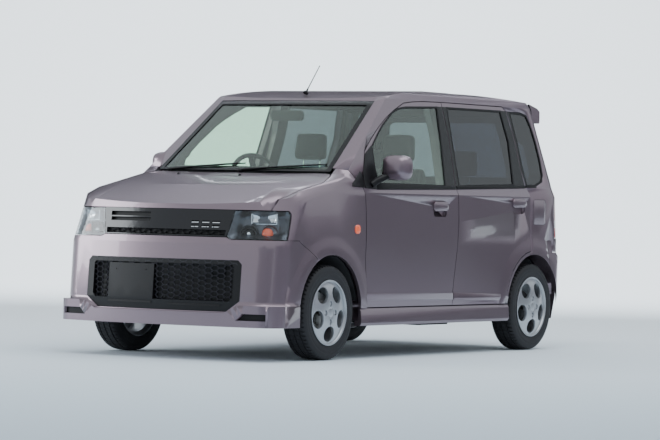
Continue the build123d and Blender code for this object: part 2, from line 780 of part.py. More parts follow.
with BuildPart() as lower_grille:
    add(bumper_shell)
    add(end_prism(lower_grille_outline, 1500, 1900, -fit), mode=Mode.INTERSECT)
    add(end_prism(lower_mesh_outline, 1500, 1900), mode=Mode.SUBTRACT)
    add(common(bumper_shell, end_prism(board_outline, 1500, 1900)))
    with BuildSketch(Plane.YZ.offset(1500)):
        with Locations((plate_y - plate_spacing / 2, plate_z), (plate_y + plate_spacing / 2, plate_z)):
            Circle(plate_hole)
    extrude(amount=400, mode=Mode.SUBTRACT)
save(lower_grille.part, "lower_grille")
save(common(shell(skin_form, body_block(bumper_wall)), end_prism(lower_mesh_outline, 1500, 1900, -fit),
            cut(box(1500, 1900, -everywhere, everywhere, 0, 900),
                end_prism(board_outline, 1500, 1900, fit))), "grille_mesh")

# ---------------------------------------------------------------- roof, tailgate and rear panels
with BuildPart() as roof:
    add(skin_shell)
    add(box(tailgate_x + half_gap, 400, -ditch_y, ditch_y, 1474, 1600), mode=Mode.INTERSECT)
    add(common(shell(skin_form, trim_form), box(-1470, -1396, -rail_y + fit, rail_y - fit, 1300, 1600)))
    add(common(under_skin, box(230, 290, -rail_y + fit, rail_y - fit, 1300, 1600)))
    for plane in tailgate_hinges:
        add(hinge_pocket(plane), mode=Mode.SUBTRACT)
        add(hinge_notch(plane), mode=Mode.SUBTRACT)
    for plane in tailgate_hinges:
        add(hinge_lugs(plane))
    add(box(230, 400, -rail_y, rail_y, 1300, 1474), mode=Mode.SUBTRACT)
save(roof.part, "roof")

rear_reach = -1800
tail_region = end_prism(tailgate_outline, rear_reach, tailgate_x - half_gap, -half_gap)
with BuildPart() as tailgate:
    add(skin_shell)
    add(tail_region, mode=Mode.INTERSECT)
    add(common(door_core, end_prism(tailgate_outline, rear_reach, tailgate_x - core_inset,
                                    -half_gap - core_inset)))
    add(end_prism(tail_glass_outline, rear_reach, -1480), mode=Mode.SUBTRACT)
    add(cut(side_block(spoiler_outline, -spoiler_half, spoiler_half), flare_form))
    add(cut(side_block(spoiler_outline, -spoiler_root, spoiler_root), skin_form))
    for plane in tailgate_hinges:
        add(hinge_arm(plane, tailgate_open))
save(tailgate.part, "tailgate")
save(common(glass_shell, end_prism(tail_glass_outline, rear_reach, -1480, -fit)), "tailgate_glass")
pair(common(bumper_shell, lamp_block), "tail_lamps")

with BuildPart() as rear_bumper:
    add(bumper_shell)
    add(side_prism(rear_bumper_outline, inner_y=-everywhere), mode=Mode.INTERSECT)
    ring = cut(common(rear_flare, side_prism(rear_bumper_outline)), skin_form)
    add(ring)
    mirror(ring, about=Plane.XZ)
    room = wheel_space(rear_axle_x, arch_radius, 380, everywhere)
    add(room, mode=Mode.SUBTRACT)
    mirror(room, about=Plane.XZ, mode=Mode.SUBTRACT)
save(rear_bumper.part, "rear_bumper")

with BuildPart() as skirt:
    with BuildSketch(Plane.YZ.offset(skirt_rear_x)):
        with BuildLine():
            Polyline((690, 186), (726, 186), (735, 202), (731, 268), (722, sill_top_z - half_gap),
                     (skirt_inner_y, sill_top_z - half_gap), (skirt_inner_y, floor_z - fit), (690,
                                                                                              floor_z - fit),
                     close=True)
        make_face()
    extrude(amount=skirt_front_x - skirt_rear_x)
pair(skirt.part, "sill_skirts")

# ---------------------------------------------------------------- floor, bulkhead and front structure
inner_wall = side_inner_y - fit
with BuildPart() as underbody:
    add(box(-1000, firewall_x, -inner_wall, inner_wall, floor_z, floor_z + floor_wall))
    add(box(firewall_x - 15, firewall_x, -605, 605, floor_z, cowl_z - fit))
    add(box(-1010, -990, -560, 560, floor_z, rear_floor_z))
    add(box(-1575, -990, -560, 560, rear_floor_z - floor_wall, rear_floor_z))
    add(box(-1640, -1570, -rail_y + fit, rail_y - fit, rear_floor_z - floor_wall, rear_floor_z))
    add(common(shell(bumper_seat_form, frame_form), box(1400, 1800, -405, 405, 455, 815)))
    add(common(shell(bumper_seat_form, frame_form), box(1400, 1800, -640, 640, 560,
                                                        hood_bumper_z + half_gap - fit)))
    add(common(frame_band, box(-1800, -1560, -rail_y + fit, rail_y - fit, 230, 586)))
    for side in (-1, 1):
        y0, y1 = sorted((side * 310, side * 390))
        add(box(firewall_x - 15, 1612, y0, y1, 400, 480))
        y0, y1 = sorted((side * 390, side * 400))
        add(box(firewall_x - 10, 1420, y0, y1, 400, 850))
        y0, y1 = sorted((side * 400, side * 660))
        add(box(960, 1122, y0, y1, 790, 800))
        with BuildSketch(Plane.XZ.offset(-max(side * 400, side * 700))):
            with Locations((front_axle_x, tyre_radius)):
                Circle(arch_radius + 6)
                Circle(arch_radius, mode=Mode.SUBTRACT)
        extrude(amount=300)
        with BuildSketch(Plane.XZ.offset(-max(side * 550, side * 620))):
            with Locations((rear_axle_x, tyre_radius)):
                Circle(arch_radius - fit)
                Circle(arch_radius - 6, mode=Mode.SUBTRACT)
        extrude(amount=70)
        add(box(rear_axle_x - 270, rear_axle_x + 300, *sorted((side * 550, side * 560)),
                rear_floor_z - floor_wall, 560))
    add(box(-1700, 1700, -everywhere, everywhere, -200, floor_z), mode=Mode.SUBTRACT)
    for side in (-1, 1):
        y0, y1 = sorted((side * 400, side * 720))
        add(box(600, 1500, y0, y1, 100, 330), mode=Mode.SUBTRACT)
        y0, y1 = sorted((side * 440, side * 580))
        add(box(front_axle_x - 75, front_axle_x + 75, y0, y1, 500, 640), mode=Mode.SUBTRACT)
save(underbody.part, "underbody")

# ---------------------------------------------------------------- bulkhead top, dashboard and cabin
def on_screen(y, height, out):
    """A point above the windscreen: up from its foot at one y, and out from its face."""
    slant = math.hypot(1, screen_slope)
    foot = screen_foot_x - screen_sweep * (y / screen_half_width) ** 2
    return (foot - screen_slope * height + out / slant, y,
            screen_foot_z + height + out * screen_slope / slant)


with BuildPart() as cowl:
    add(box(firewall_x - 15, 940, -560, 560, cowl_z, cowl_z + 14))
    add(common(shell(seat_form, body_block(bumper_wall)), box(780, 960, -565, 565, cowl_z, 1075)))
    add(common(box(870, 884, -560, 560, cowl_z, 1075), seat_form))
    add(hood_region(half_gap), mode=Mode.SUBTRACT)
    for side in (-1, 1):
        y0, y1 = sorted((side * 550, side * 566))
        add(box(hood_hinge_x - 9, hood_hinge_x + 9, y0, y1, cowl_z, hood_hinge_z))
        middle = (hood_hinge_x, side * 560, hood_hinge_z)
        add(bar(middle, (hood_hinge_x, side * (hood_hinge_y - hood_arm_width / 2 - 0.5), hood_hinge_z), 9))
        add(bar(middle, (hood_hinge_x, side * (hood_hinge_y + hood_arm_width / 2 + 2), hood_hinge_z),
                pin_radius))
    for y in wiper_pivots:
        x = on_screen(y, wiper_clear, 5.5)[0]
        add(box(x - 14, x + 14, y - 14, y + 14, cowl_z + 14, 1100), mode=Mode.SUBTRACT)
save(cowl.part, "cowl_panel")

column_dir = Vector(-0.924, 0, 0.383)
wheel_plane = Plane(origin=(206, wheel_y, 988), x_dir=(0, 1, 0), z_dir=column_dir)


def on_column(distance):
    """A point of the steering column's axis, measured from the steering wheel's middle towards the driver."""
    return wheel_plane.origin + wheel_plane.z_dir * distance


dash_front = firewall_x - 15 - fit
with BuildPart() as dashboard:
    add(side_block([(dash_front, 600), (dash_front, 980), (640, 998), (470, 985), (425, 940), (430, 780),
                    (500, 640),
                    (600, 600)], -dash_half, dash_half))
    add(bar(on_column(-254), on_column(-49), 32))
    add(bar(on_column(-76), on_column(-40), shaft_radius + pin_clearance), mode=Mode.SUBTRACT)
    add(box(470, dash_front, -110, 110, floor_z + floor_wall + fit, 620))
save(dashboard.part, "dashboard")

with BuildPart() as steering_wheel:
    with BuildSketch(Plane(origin=wheel_plane.origin, x_dir=wheel_plane.x_dir, z_dir=wheel_plane.y_dir)):
        with Locations((wheel_ring_radius, 0)):
            Circle(wheel_tube_radius)
    revolve(axis=Axis(wheel_plane.origin, column_dir))
    with BuildSketch(wheel_plane.offset(-22)):
        Circle(62)
    extrude(amount=26)
    for turn in (0, 180, 270):
        with BuildSketch(wheel_plane.offset(-12)):
            with PolarLocations(wheel_ring_radius / 2, 1, start_angle=turn):
                Rectangle(wheel_ring_radius, 36)
        extrude(amount=12)
    add(bar(on_column(-74), on_column(-18), shaft_radius))
save(steering_wheel.part, "steering_wheel")

cabin_floor = floor_z + floor_wall
with BuildPart() as seat:
    add(side_block([(-330, 385), (165, 385), (172, 480), (120, 505), (-150, 490), (-330, 1110), (-400, 1112),
                    (-440, 1090), (-330, 470)], -seat_half, seat_half))
    fillet(seat.edges().filter_by(Axis.Y), 14)
    for y in (-60, 60):
        add(bar((-372, y, 1100), (-363, y, 1140), 6))
    add(side_block([(-300, 1130), (-322, 1300), (-385, 1300), (-405, 1130)], -115, 115))
for y, name in ((front_seat_y, "front_seat_left"), (-front_seat_y, "front_seat_right")):
    save(seat.part.moved(Location((0, y, 0))), name)
with BuildPart() as rear_seat:
    add(side_block([(-985, 385), (-560, 385), (-552, 470), (-600, 498), (-960, 490), (-1060, 1030),
                    (-1110, 1040),
                    (-1130, 1010), (-1030, 456), (-985, 456)], -rear_seat_half, rear_seat_half))
    for y in (-front_seat_y, front_seat_y):
        add(side_block([(-1070, 1030), (-1090, 1225), (-1145, 1225), (-1155, 1100), (-1118, 1030)], y - 120,
                       y + 120))
save(rear_seat.part, "rear_seat")
with BuildPart() as bases:
    for y in (-front_seat_y, front_seat_y):
        add(box(-310, 140, y - 190, y + 190, cabin_floor, 385))
    add(box(-970, -600, -520, 520, cabin_floor, 385))
save(bases.part, "seat_bases")

with BuildPart() as cabin_mirror:
    with BuildSketch(Plane.YZ.offset(388)):
        with Locations((0, 1380)):
            RectangleRounded(220, 62, 24)
    extrude(amount=24)
    add(bar((405, 0, 1395), mirror_root, 9))
    add(seat_form, mode=Mode.INTERSECT)
save(cabin_mirror.part, "cabin_mirror")

# ---------------------------------------------------------------- door mirrors, wipers and antenna
with BuildPart() as door_mirror:
    with BuildSketch(Plane.YZ.offset(mirror_x - 45)):
        with Locations((mirror_y, 1087)):
            RectangleRounded(180, 145, 40)
    with BuildSketch(Plane.YZ.offset(mirror_x + 45)):
        with Locations((mirror_y, 1087)):
            RectangleRounded(140, 110, 40)
    loft()
    add(bar((mirror_x + 5, mirror_y - 50, 1040), (575, 640, 1000), 20))
    add(outer_form, mode=Mode.SUBTRACT)
both_sides(door_mirror.part, "door_mirror")

with BuildPart() as wipers:
    for pivot_y in wiper_pivots:
        pivot = on_screen(pivot_y, wiper_clear, 5.5)
        add(bar((pivot[0], pivot_y, cowl_z + 14 + fit), pivot, 5))
        reach = [on_screen(pivot_y + wiper_length * i / 4, wiper_clear + 2 + 10 * i, 5) for i in range(5)]
        for low, high in zip([pivot, *reach[1:4]], reach[1:]):
            add(bar(low, high, 3.5))
save(wipers.part, "wipers")

with BuildPart() as antenna:
    add(bar((208, 0, 1519), (196, 0, 1536), 18))
    add(bar((200, 0, 1530), (57, 0, 1691), 3.5))
    add(outer_form, mode=Mode.SUBTRACT)
save(antenna.part, "antenna")

# ---------------------------------------------------------------- engine, tank, exhaust and running gear
with BuildPart() as engine:
    add(box(880, 1300, -290, 290, 300 + fit, 760))
save(engine.part, "engine")
with BuildPart() as radiator:
    add(box(1500, 1530, -310 + fit, 310 - fit, 300, 660))
save(radiator.part, "radiator")
with BuildPart() as tank:
    add(box(-950, -600, -150, 330, 150, floor_z))
save(tank.part, "fuel_tank")
with BuildPart() as exhaust:
    add(bar((700, -200, 190), (-1380, -200, 190), 22))
    add(bar((-1370, -200, 190), (-1450, -300, 190), 19))
    add(box(-1620, -1440, -430, -230, 152, 229.7))
    add(bar((-1600, -400, 168), (-1700, -400, 168), 18))
save(exhaust.part, "exhaust")


def on_kingpin(z):
    """A point of the left front wheel's steering axis, at one height."""
    share = (z - ball_joint[1]) / (strut_top[1] - ball_joint[1])
    return (front_axle_x, ball_joint[0] + share * (strut_top[0] - ball_joint[0]), z)


with BuildPart() as front_suspension:
    add(box(front_axle_x - 60, front_axle_x + 20, -330, 330, 210, 300))
    for side in (-1, 1):
        stud = on_kingpin(208)
        stud_end = on_kingpin(258)
        with BuildSketch(Plane.XY.offset(198)):
            with BuildLine():
                Polyline((front_axle_x - 60, side * 320), (front_axle_x + 20, side * 320),
                         (front_axle_x + 11, side * stud[1]), (front_axle_x - 11,
                                                               side * stud[1]), close=True)
            make_face()
            with Locations((front_axle_x, side * stud[1])):
                Circle(11)
        extrude(amount=20)
        add(bar((stud[0], side * stud[1], stud[2]), (stud_end[0], side * stud_end[1], stud_end[2]),
                ball_pin_radius))
        add(box(front_axle_x - 30, front_axle_x + 30, *sorted((side * 310, side * 330)), 290, 400))
        start = on_kingpin(787)
        end = on_kingpin(660)
        add(bar((start[0], side * start[1], start[2]), (end[0], side * end[1], end[2]), strut_rod_radius))
save(front_suspension.part, "front_suspension")

with BuildPart() as knuckle:
    add(bar(on_kingpin(236), on_kingpin(385), 20))
    add(bar(on_kingpin(440), on_kingpin(700), 19))
    add(box(front_axle_x - 22, front_axle_x + 22, 530, 566, 380, 460))
    add(bar((front_axle_x, 570, tyre_radius), (front_axle_x, spindle_end_y, tyre_radius), spindle_radius))
    add(box(front_axle_x - 30, front_axle_x + 30, 560, 588, tyre_radius - 40, tyre_radius + 40))
    add(box(front_axle_x - 138, front_axle_x - 20, 560, 580, tyre_radius - 12, tyre_radius + 12))
    add(bar(on_kingpin(656), on_kingpin(710), strut_rod_radius + pin_clearance), mode=Mode.SUBTRACT)
    add(bar(on_kingpin(220), on_kingpin(262), ball_pin_radius + pin_clearance), mode=Mode.SUBTRACT)
both_sides(knuckle.part, "knuckle")

with BuildPart() as rear_axle:
    add(bar((rear_axle_x, -560, tyre_radius), (rear_axle_x, 560, tyre_radius), 32))
    for side in (-1, 1):
        add(bar((rear_axle_x, side * 480, tyre_radius), (-1030, side * 480, 236), 22))
        add(box(-1050, -1010.3, *sorted((side * 455, side * 505)), floor_z, 300))
        add(bar((rear_axle_x, side * 480, 290), (rear_axle_x, side * 480, rear_floor_z - floor_wall), 45))
        add(bar((rear_axle_x, side * 550, tyre_radius), (rear_axle_x, side * 574, tyre_radius), 70))
        add(bar((rear_axle_x, side * 570, tyre_radius), (rear_axle_x, side * spindle_end_y, tyre_radius),
                spindle_radius))
save(rear_axle.part, "rear_axle")

# ---------------------------------------------------------------- wheels
tyre_in = tyre_side_y
tyre_out = tyre_side_y + tyre_width
for axle_x, end in ((front_axle_x, "front"), (rear_axle_x, "rear")):
    axle = Axis((axle_x, 0, tyre_radius), (0, 1, 0))
    section = Plane(origin=(axle_x, 0, tyre_radius), x_dir=(1, 0, 0), z_dir=(0, 0, 1))
    with BuildPart() as tyre:
        with BuildSketch(section):
            with BuildLine():
                Polyline((rim_radius + fit, tyre_in + 18), (185, tyre_in + 5), (225, tyre_in),
                         (254, tyre_in + 6),
                         (tyre_radius, tyre_in + 22), (tyre_radius, tyre_out - 22), (254, tyre_out - 6),
                         (225, tyre_out), (185, tyre_out - 5), (rim_radius + fit, tyre_out - 18), close=True)
            make_face()
        revolve(axis=axis_of(axle_x))
    both_sides(tyre.part, f"tyre_{end}")
    with BuildPart() as rim:
        with BuildSketch(section):
            with BuildLine():
                Polyline((rim_radius, tyre_in + 17), (rim_radius, tyre_out - 17),
                         (rim_flange_radius, tyre_out - 5),
                         (rim_flange_radius, tyre_out), (rim_flange_radius - 6, tyre_out), (168,
                                                                                            tyre_out - 6),
                         (158, tyre_out - 3), (135, tyre_out + 4), (100, tyre_out + 9), (60, tyre_out + 11),
                         (30, tyre_out + 11), (26, tyre_out + 6), (spindle_radius + 1, tyre_out + 6),
                         (spindle_radius + 1, hub_in_y), (68, hub_in_y), (68, tyre_out - 14), (100,
                                                                                               tyre_out - 10),
                         (135, tyre_out - 16), (157, tyre_out - 24), (157, tyre_in + 26), (150,
                                                                                           tyre_in + 14),
                         (172, tyre_in + 6), (176, tyre_in + 8), close=True)
            make_face()
        revolve(axis=axis_of(axle_x))
        with BuildSketch(Plane(origin=(axle_x, tyre_out + 40, tyre_radius), x_dir=(1, 0, 0),
                               z_dir=(0, 1, 0))):
            with PolarLocations(window_circle, 5, start_angle=90):
                Ellipse(39, 46)
        extrude(amount=-90, mode=Mode.SUBTRACT)
        with BuildSketch(Plane(origin=(axle_x, tyre_out + 40, tyre_radius), x_dir=(1, 0, 0),
                               z_dir=(0, 1, 0))):
            with PolarLocations(bolt_circle / 2, bolt_count):
                Circle(bolt_hole)
        extrude(amount=-160, mode=Mode.SUBTRACT)
    both_sides(rim.part, f"rim_{end}")
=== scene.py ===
"""A five-door kei hatchback dressed round its CAD frame.

Metres, +X ahead, +Y the car's left, +Z up, wheels on Z = 0.
"""
import json
import math

import bmesh
import bpy
from mathutils import Matrix, Vector
from mathutils.bvhtree import BVHTree


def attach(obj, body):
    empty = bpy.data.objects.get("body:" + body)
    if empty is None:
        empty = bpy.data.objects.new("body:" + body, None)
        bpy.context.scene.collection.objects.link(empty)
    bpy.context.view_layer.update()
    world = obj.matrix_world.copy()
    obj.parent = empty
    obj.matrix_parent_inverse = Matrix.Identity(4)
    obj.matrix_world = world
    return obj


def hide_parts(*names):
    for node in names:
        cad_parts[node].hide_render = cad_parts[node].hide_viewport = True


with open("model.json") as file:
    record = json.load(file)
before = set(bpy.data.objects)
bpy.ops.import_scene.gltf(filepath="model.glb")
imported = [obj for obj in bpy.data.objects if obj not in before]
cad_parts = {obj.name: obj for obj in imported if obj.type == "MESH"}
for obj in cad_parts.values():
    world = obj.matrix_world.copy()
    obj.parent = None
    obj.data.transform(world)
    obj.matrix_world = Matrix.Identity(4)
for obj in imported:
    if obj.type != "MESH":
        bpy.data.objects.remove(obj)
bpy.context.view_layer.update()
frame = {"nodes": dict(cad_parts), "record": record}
nodes = frame["nodes"]
body_of_node = {n: b for b, names in frame["record"]["behaviour"]["bodies"].items() for n in names}


# ---------------------------------------------------------------- Camera
# A long lens on a stand ahead of the car's left corner, at the hood's height,
# turned a little about its own axis.
def linked(name, data):
    """A new object of the scene with this mesh, lamp or camera."""
    thing = bpy.data.objects.new(name, data)
    bpy.context.scene.collection.objects.link(thing)
    return thing


def aim_camera():
    yaw, pitch, roll = math.radians(-147.8428), math.radians(-0.31565), math.radians(1.3089)
    ahead = Vector((math.cos(pitch) * math.cos(yaw), math.cos(pitch) * math.sin(yaw), math.sin(pitch)))
    right = ahead.cross(Vector((0, 0, 1))).normalized()
    up = right.cross(ahead)
    right_turned = math.cos(roll) * right + math.sin(roll) * up
    up_turned = math.cos(roll) * up - math.sin(roll) * right
    data = bpy.data.cameras.new("studio_camera")
    data.sensor_width = 36
    data.lens = 181.9
    data.clip_end = 200
    camera = linked("studio_camera", data)
    turn = Matrix((right_turned, up_turned, -ahead)).transposed().to_4x4()
    camera.matrix_world = Matrix.Translation((16.7669, 10.6009, 0.8849)) @ turn
    bpy.context.scene.camera = camera


aim_camera()


# ---------------------------------------------------------------- Studio
# A seamless sheet of pale painted board that runs from the floor up into the back wall,
# lit by a wide overhead soft box, a smaller one ahead of the car and a strong one on the wall.
def srgb(code):
    """An sRGB hex colour as the linear values that Blender works in."""
    values = [int(code[i:i + 2], 16) / 255 for i in (1, 3, 5)]
    return [v / 12.92 if v <= 0.04045 else ((v + 0.055) / 1.055) ** 2.4 for v in values] + [1.0]


def new_material(name):
    """A named material with an empty node tree, and that tree."""
    material = bpy.data.materials.new(name)
    material.use_nodes = True
    material.node_tree.nodes.clear()
    return material, material.node_tree


def add_node(tree, kind, inputs=None, **settings):
    """One node: settings are its own properties, inputs are values or (node, output) links by socket name."""
    made = tree.nodes.new(kind)
    for name, value in settings.items():
        setattr(made, name, value)
    for name, value in (inputs or {}).items():
        if isinstance(value, tuple) and isinstance(value[0], bpy.types.Node):
            tree.links.new(value[0].outputs[value[1]], made.inputs[name])
        else:
            made.inputs[name].default_value = value
    return made


def noise(tree, scale, detail):
    coords = add_node(tree, "ShaderNodeTexCoord")
    return add_node(tree, "ShaderNodeTexNoise", {
        "Vector": (coords, "Object"), "Scale": scale, "Detail": detail}), 0


def place_share(tree, output, low, high):
    """How far a place lies between two heights, from 0 to 1; output is the node that tells its height."""
    return add_node(tree, "ShaderNodeMapRange", {"Value": output, "From Min": low, "From Max": high}), 0


def mixed(tree, share, first, second):
    return add_node(tree, "ShaderNodeMix", {0: share, 6: first, 7: second}, data_type="RGBA"), 2


def raised(tree, height, strength, distance):
    return add_node(tree, "ShaderNodeBump", {"Height": height, "Strength": strength, "Distance": distance}), 0


def surfaced(tree, inputs):
    """Ends a material's tree in a principled surface with these inputs."""
    shader = add_node(tree, "ShaderNodeBsdfPrincipled", inputs)
    add_node(tree, "ShaderNodeOutputMaterial", {"Surface": (shader, 0)})


def sheet_profile():
    """The sheet's side view as (distance behind the car's middle, height): floor, bend and wall."""
    floor_end, bend, wall_top = 14, 9, 26
    turns = [math.radians(7.5 * i) for i in range(1, 13)]
    curve = [(floor_end + bend * math.sin(a), bend - bend * math.cos(a)) for a in turns]
    return [(-30, 0), (floor_end, 0), *curve, (floor_end + bend, wall_top)]


def lay_sheet():
    across, back = Vector((0.532, -0.8466, 0)), Vector((-0.8466, -0.532, 0))
    half_wide, below_tyres = 34, 0.0005
    bm = bmesh.new()
    rows = [[bm.verts.new(back * d + across * w + Vector((0, 0, h - below_tyres)))
             for d, h in sheet_profile()] for w in (-half_wide, half_wide)]
    for i in range(len(rows[0]) - 1):
        bm.faces.new((rows[0][i], rows[1][i], rows[1][i + 1], rows[0][i + 1])).smooth = True
    mesh = bpy.data.meshes.new("studio_sheet")
    bm.to_mesh(mesh)
    bm.free()
    material, tree = new_material("studio_board_with_painted_falloff")
    # the board's colour pales from ahead of the car towards the wall: painted light falloff, with a faint
    # random mottle
    coords = add_node(tree, "ShaderNodeTexCoord")
    away = add_node(tree, "ShaderNodeVectorMath", {0: (coords, "Object"), 1: back}, operation="DOT_PRODUCT")
    share = place_share(tree, (away, "Value"), -9.0, 15.0)
    soft = add_node(tree, "ShaderNodeMath", {0: noise(tree, 0.25, 1.0), 1: 0.04, 2: share},
                    operation="MULTIPLY_ADD")
    tint = mixed(tree, (soft, 0), srgb("#c2d3df"), srgb("#f7fafc"))
    surfaced(tree, {"Base Color": tint, "Roughness": 0.85})
    mesh.materials.append(material)
    linked("studio_sheet", mesh)


def hang_lamps():
    world = bpy.data.worlds.new("studio_air")
    world.use_nodes = True
    world.node_tree.nodes["Background"].inputs["Color"].default_value = srgb("#e2eaef")
    world.node_tree.nodes["Background"].inputs["Strength"].default_value = 1.12
    bpy.context.scene.world = world
    car_middle, wall_middle = Vector((0, 0, 0.6)), Vector((-20, -12.5, 6))
    for name, place, size, power, aim in (
            ("overhead_box", (0.5, 2.0, 6.5), (9.0, 5.0), 330, car_middle),
            ("front_box", (5.5, -7.5, 2.4), (4.0, 3.0), 330, car_middle),
            ("wall_box", (-7.0, -4.5, 9.0), (14.0, 4.0), 3400, wall_middle)):
        lamp = bpy.data.lights.new(name, "AREA")
        lamp.shape = "RECTANGLE"
        lamp.size, lamp.size_y = size
        lamp.energy = power
        lamp.color = srgb("#f4faff")[:3]
        holder = linked(name, lamp)
        holder.location = place
        holder.rotation_euler = (aim - Vector(place)).to_track_quat("-Z", "Y").to_euler()


def hang_reflection_sheet(name, corner, along, low, high, dark, pale):
    """A sheet that only polished surfaces see, darker at its foot and paler upwards: painted reflection of
    shade, to draw the panels' curves.
    """
    bm = bmesh.new()
    rows = [[bm.verts.new(Vector(corner) + Vector(along) * share + Vector((0, 0, lift)))
             for share in (0, 0.5, 1)] for lift in (low, high)]
    for k in (0, 1):
        bm.faces.new((rows[0][k], rows[0][k + 1], rows[1][k + 1], rows[1][k]))
    mesh = bpy.data.meshes.new(name)
    bm.to_mesh(mesh)
    bm.free()
    # its cloth material is painted reflection of shade, darker below and paler upwards
    material, tree = new_material(name + "_cloth")
    coords = add_node(tree, "ShaderNodeTexCoord")
    apart = add_node(tree, "ShaderNodeSeparateXYZ", {0: (coords, "Object")})
    share = place_share(tree, (apart, 2), low + 0.25 * (high - low), high)
    surfaced(tree, {"Base Color": mixed(tree, share, srgb(dark), srgb(pale)), "Roughness": 0.9})
    mesh.materials.append(material)
    flag = linked(name, mesh)
    flag.visible_camera = flag.visible_diffuse = flag.visible_shadow = flag.visible_transmission = False


lay_sheet()
hang_lamps()
# dark sheets that only reflections see: painted shade in the panels' reflections
hang_reflection_sheet("side_flag", (-26.0, 5.5, 0.0), (22.5, 0.0, 0.0), 0.0, 2.0, "#1c171b", "#857a83")
hang_reflection_sheet("corner_flag", (-3.5, 5.5, 0.0), (7.5, 0.0, 0.0), 0.0, 2.0, "#6e666d", "#b4acb3")
hang_reflection_sheet("front_flag", (11.0, 0.5, 0.0), (-5.0, 7.0, 0.0), 0.0, 1.8, "#38343a", "#8e868d")
hang_reflection_sheet("back_flag", (-11.6, 3.4, 0.0), (9.6, -15.2, 0.0), 1.3, 8.0, "#37333a", "#bcb8be")


# ---------------------------------------------------------------- Painted panels
# Pressed sheet steel with a warm grey metallic base coat and a clear coat over it.
# The flakes show as a fine mottle of two tones, and each shell is smooth between its pressed edges.
def grained(name, tones, mottle, surface, bump=None, fine=None):
    """A material of two tones mixed by a mottle (scale, detail), with the surface's other inputs.
    The same noise, or the fine one, raises it by bump (strength, height)."""
    material, tree = new_material(name)
    tone = mixed(tree, noise(tree, *mottle), srgb(tones[0]), srgb(tones[1]))
    inputs = {"Base Color": tone, **surface}
    if bump:
        inputs["Normal"] = raised(tree, noise(tree, *(fine or mottle)), *bump)
    surfaced(tree, inputs)
    return material


def rounded_copy(node_name, material, angle=24.0, lining=None):
    """One CAD solid's skin with its loose triangles joined, smooth where it curves, in place of that solid.
    Its faces that look into the cabin take the lining, if there is one."""
    mesh = nodes[node_name].data.copy()
    mesh.name = node_name + "_skin"
    bm = bmesh.new()
    bm.from_mesh(mesh)
    bmesh.ops.remove_doubles(bm, verts=bm.verts, dist=2e-5)
    bmesh.ops.dissolve_degenerate(bm, edges=bm.edges, dist=1e-5)
    bm.to_mesh(mesh)
    bm.free()
    mesh.materials.clear()
    mesh.materials.append(material)
    if lining:
        mesh.materials.append(lining)
        for face in mesh.polygons:
            outward = Vector((0, face.center.y, face.center.z - 0.9)).normalized()
            if face.normal.dot(outward) < -0.3 and face.center.z > 0.25:
                face.material_index = 1
    mesh.shade_smooth()
    mesh.set_sharp_from_angle(angle=math.radians(angle))
    panel = linked(mesh.name, mesh)
    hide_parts(node_name)
    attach(panel, body_of_node[node_name])


body_paint = grained("warm_grey_metallic_paint", ("#7b6c75", "#897a83"), (900.0, 1.0), {
    "Metallic": 0.85, "Roughness": 0.3, "Coat Weight": 0.5, "Coat Roughness": 0.03})
# fleece and grained panels inside the doors, the pillars and the roof
lining = grained("charcoal_cabin_lining", ("#19181b", "#252427"), (350.0, 3.0), {
    "Roughness": 0.85, "Specular IOR Level": 0.2}, (0.4, 0.0006))
for panel_name in ("hood", "front_fenders", "front_bumper", "rear_bumper", "sill_skirts"):
    rounded_copy(panel_name, body_paint)
for panel_name in ("roof", "tailgate", "front_door_left", "front_door_right", "rear_door_left",
                   "rear_door_right", "side_frame_left", "side_frame_right"):
    rounded_copy(panel_name, body_paint, 24.0, lining)


# ---------------------------------------------------------------- Glass
# Laminated and tempered float glass, tinted green in the windscreen and the front doors
# and smoked nearly black from the rear doors back.
def glass(name, code, index=1.5, wave=(3.0, 0.0), lift=0.01):
    """Clear or tinted glass with a hardly visible ripple."""
    surface = {"Roughness": 0.0, "Transmission Weight": 1.0, "IOR": index}
    return grained(name, (code, code), wave, surface, (lift, 0.001))


green_glass = glass("green_tinted_float_glass", "#cee7d5")
smoked_glass = glass("smoked_privacy_glass", "#565c64")
for pane, tint in (("windscreen", green_glass), ("front_door_glass_left", green_glass),
                   ("front_door_glass_right", green_glass), ("rear_door_glass_left", smoked_glass),
                   ("rear_door_glass_right", smoked_glass), ("quarter_glass", smoked_glass),
                   ("tailgate_glass", smoked_glass)):
    nodes[pane].data.materials.clear()
    nodes[pane].data.materials.append(tint)


# ---------------------------------------------------------------- Tyres
# Radial road tyres of black rubber compound, moulded with three grooves round the tread,
# slanted shoulder slots every 27 mm and a raised protector ring beside the rim.
def skin_from(bm, rows, closed_row=False):
    """Faces between neighbouring rows of vertices."""
    for a, b in zip(rows, rows[1:]):
        for k in range(len(a) if closed_row else len(a) - 1):
            n = (k + 1) % len(a)
            bm.faces.new((a[k], a[n], b[n], b[k]))


def capped_skin(bm, rows):
    """Faces round closed rows of vertices and over both ends."""
    skin_from(bm, rows, True)
    bm.faces.new(rows[0])
    bm.faces.new(rows[-1])


def finished(bm, name, angle=40.0, merge=True):
    """The mesh, its faces outward, smooth but for edges sharper than the angle."""
    if merge:
        bmesh.ops.remove_doubles(bm, verts=bm.verts, dist=1e-6)
    bmesh.ops.recalc_face_normals(bm, faces=bm.faces[:])
    mesh = bpy.data.meshes.new(name)
    bm.to_mesh(mesh)
    bm.free()
    mesh.shade_smooth()
    mesh.set_sharp_from_angle(angle=math.radians(angle))
    return mesh


def crown(y):
    """The tread's radius at one place across it, in mm."""
    return 265.9 - 2.2 * (y / 57) ** 2


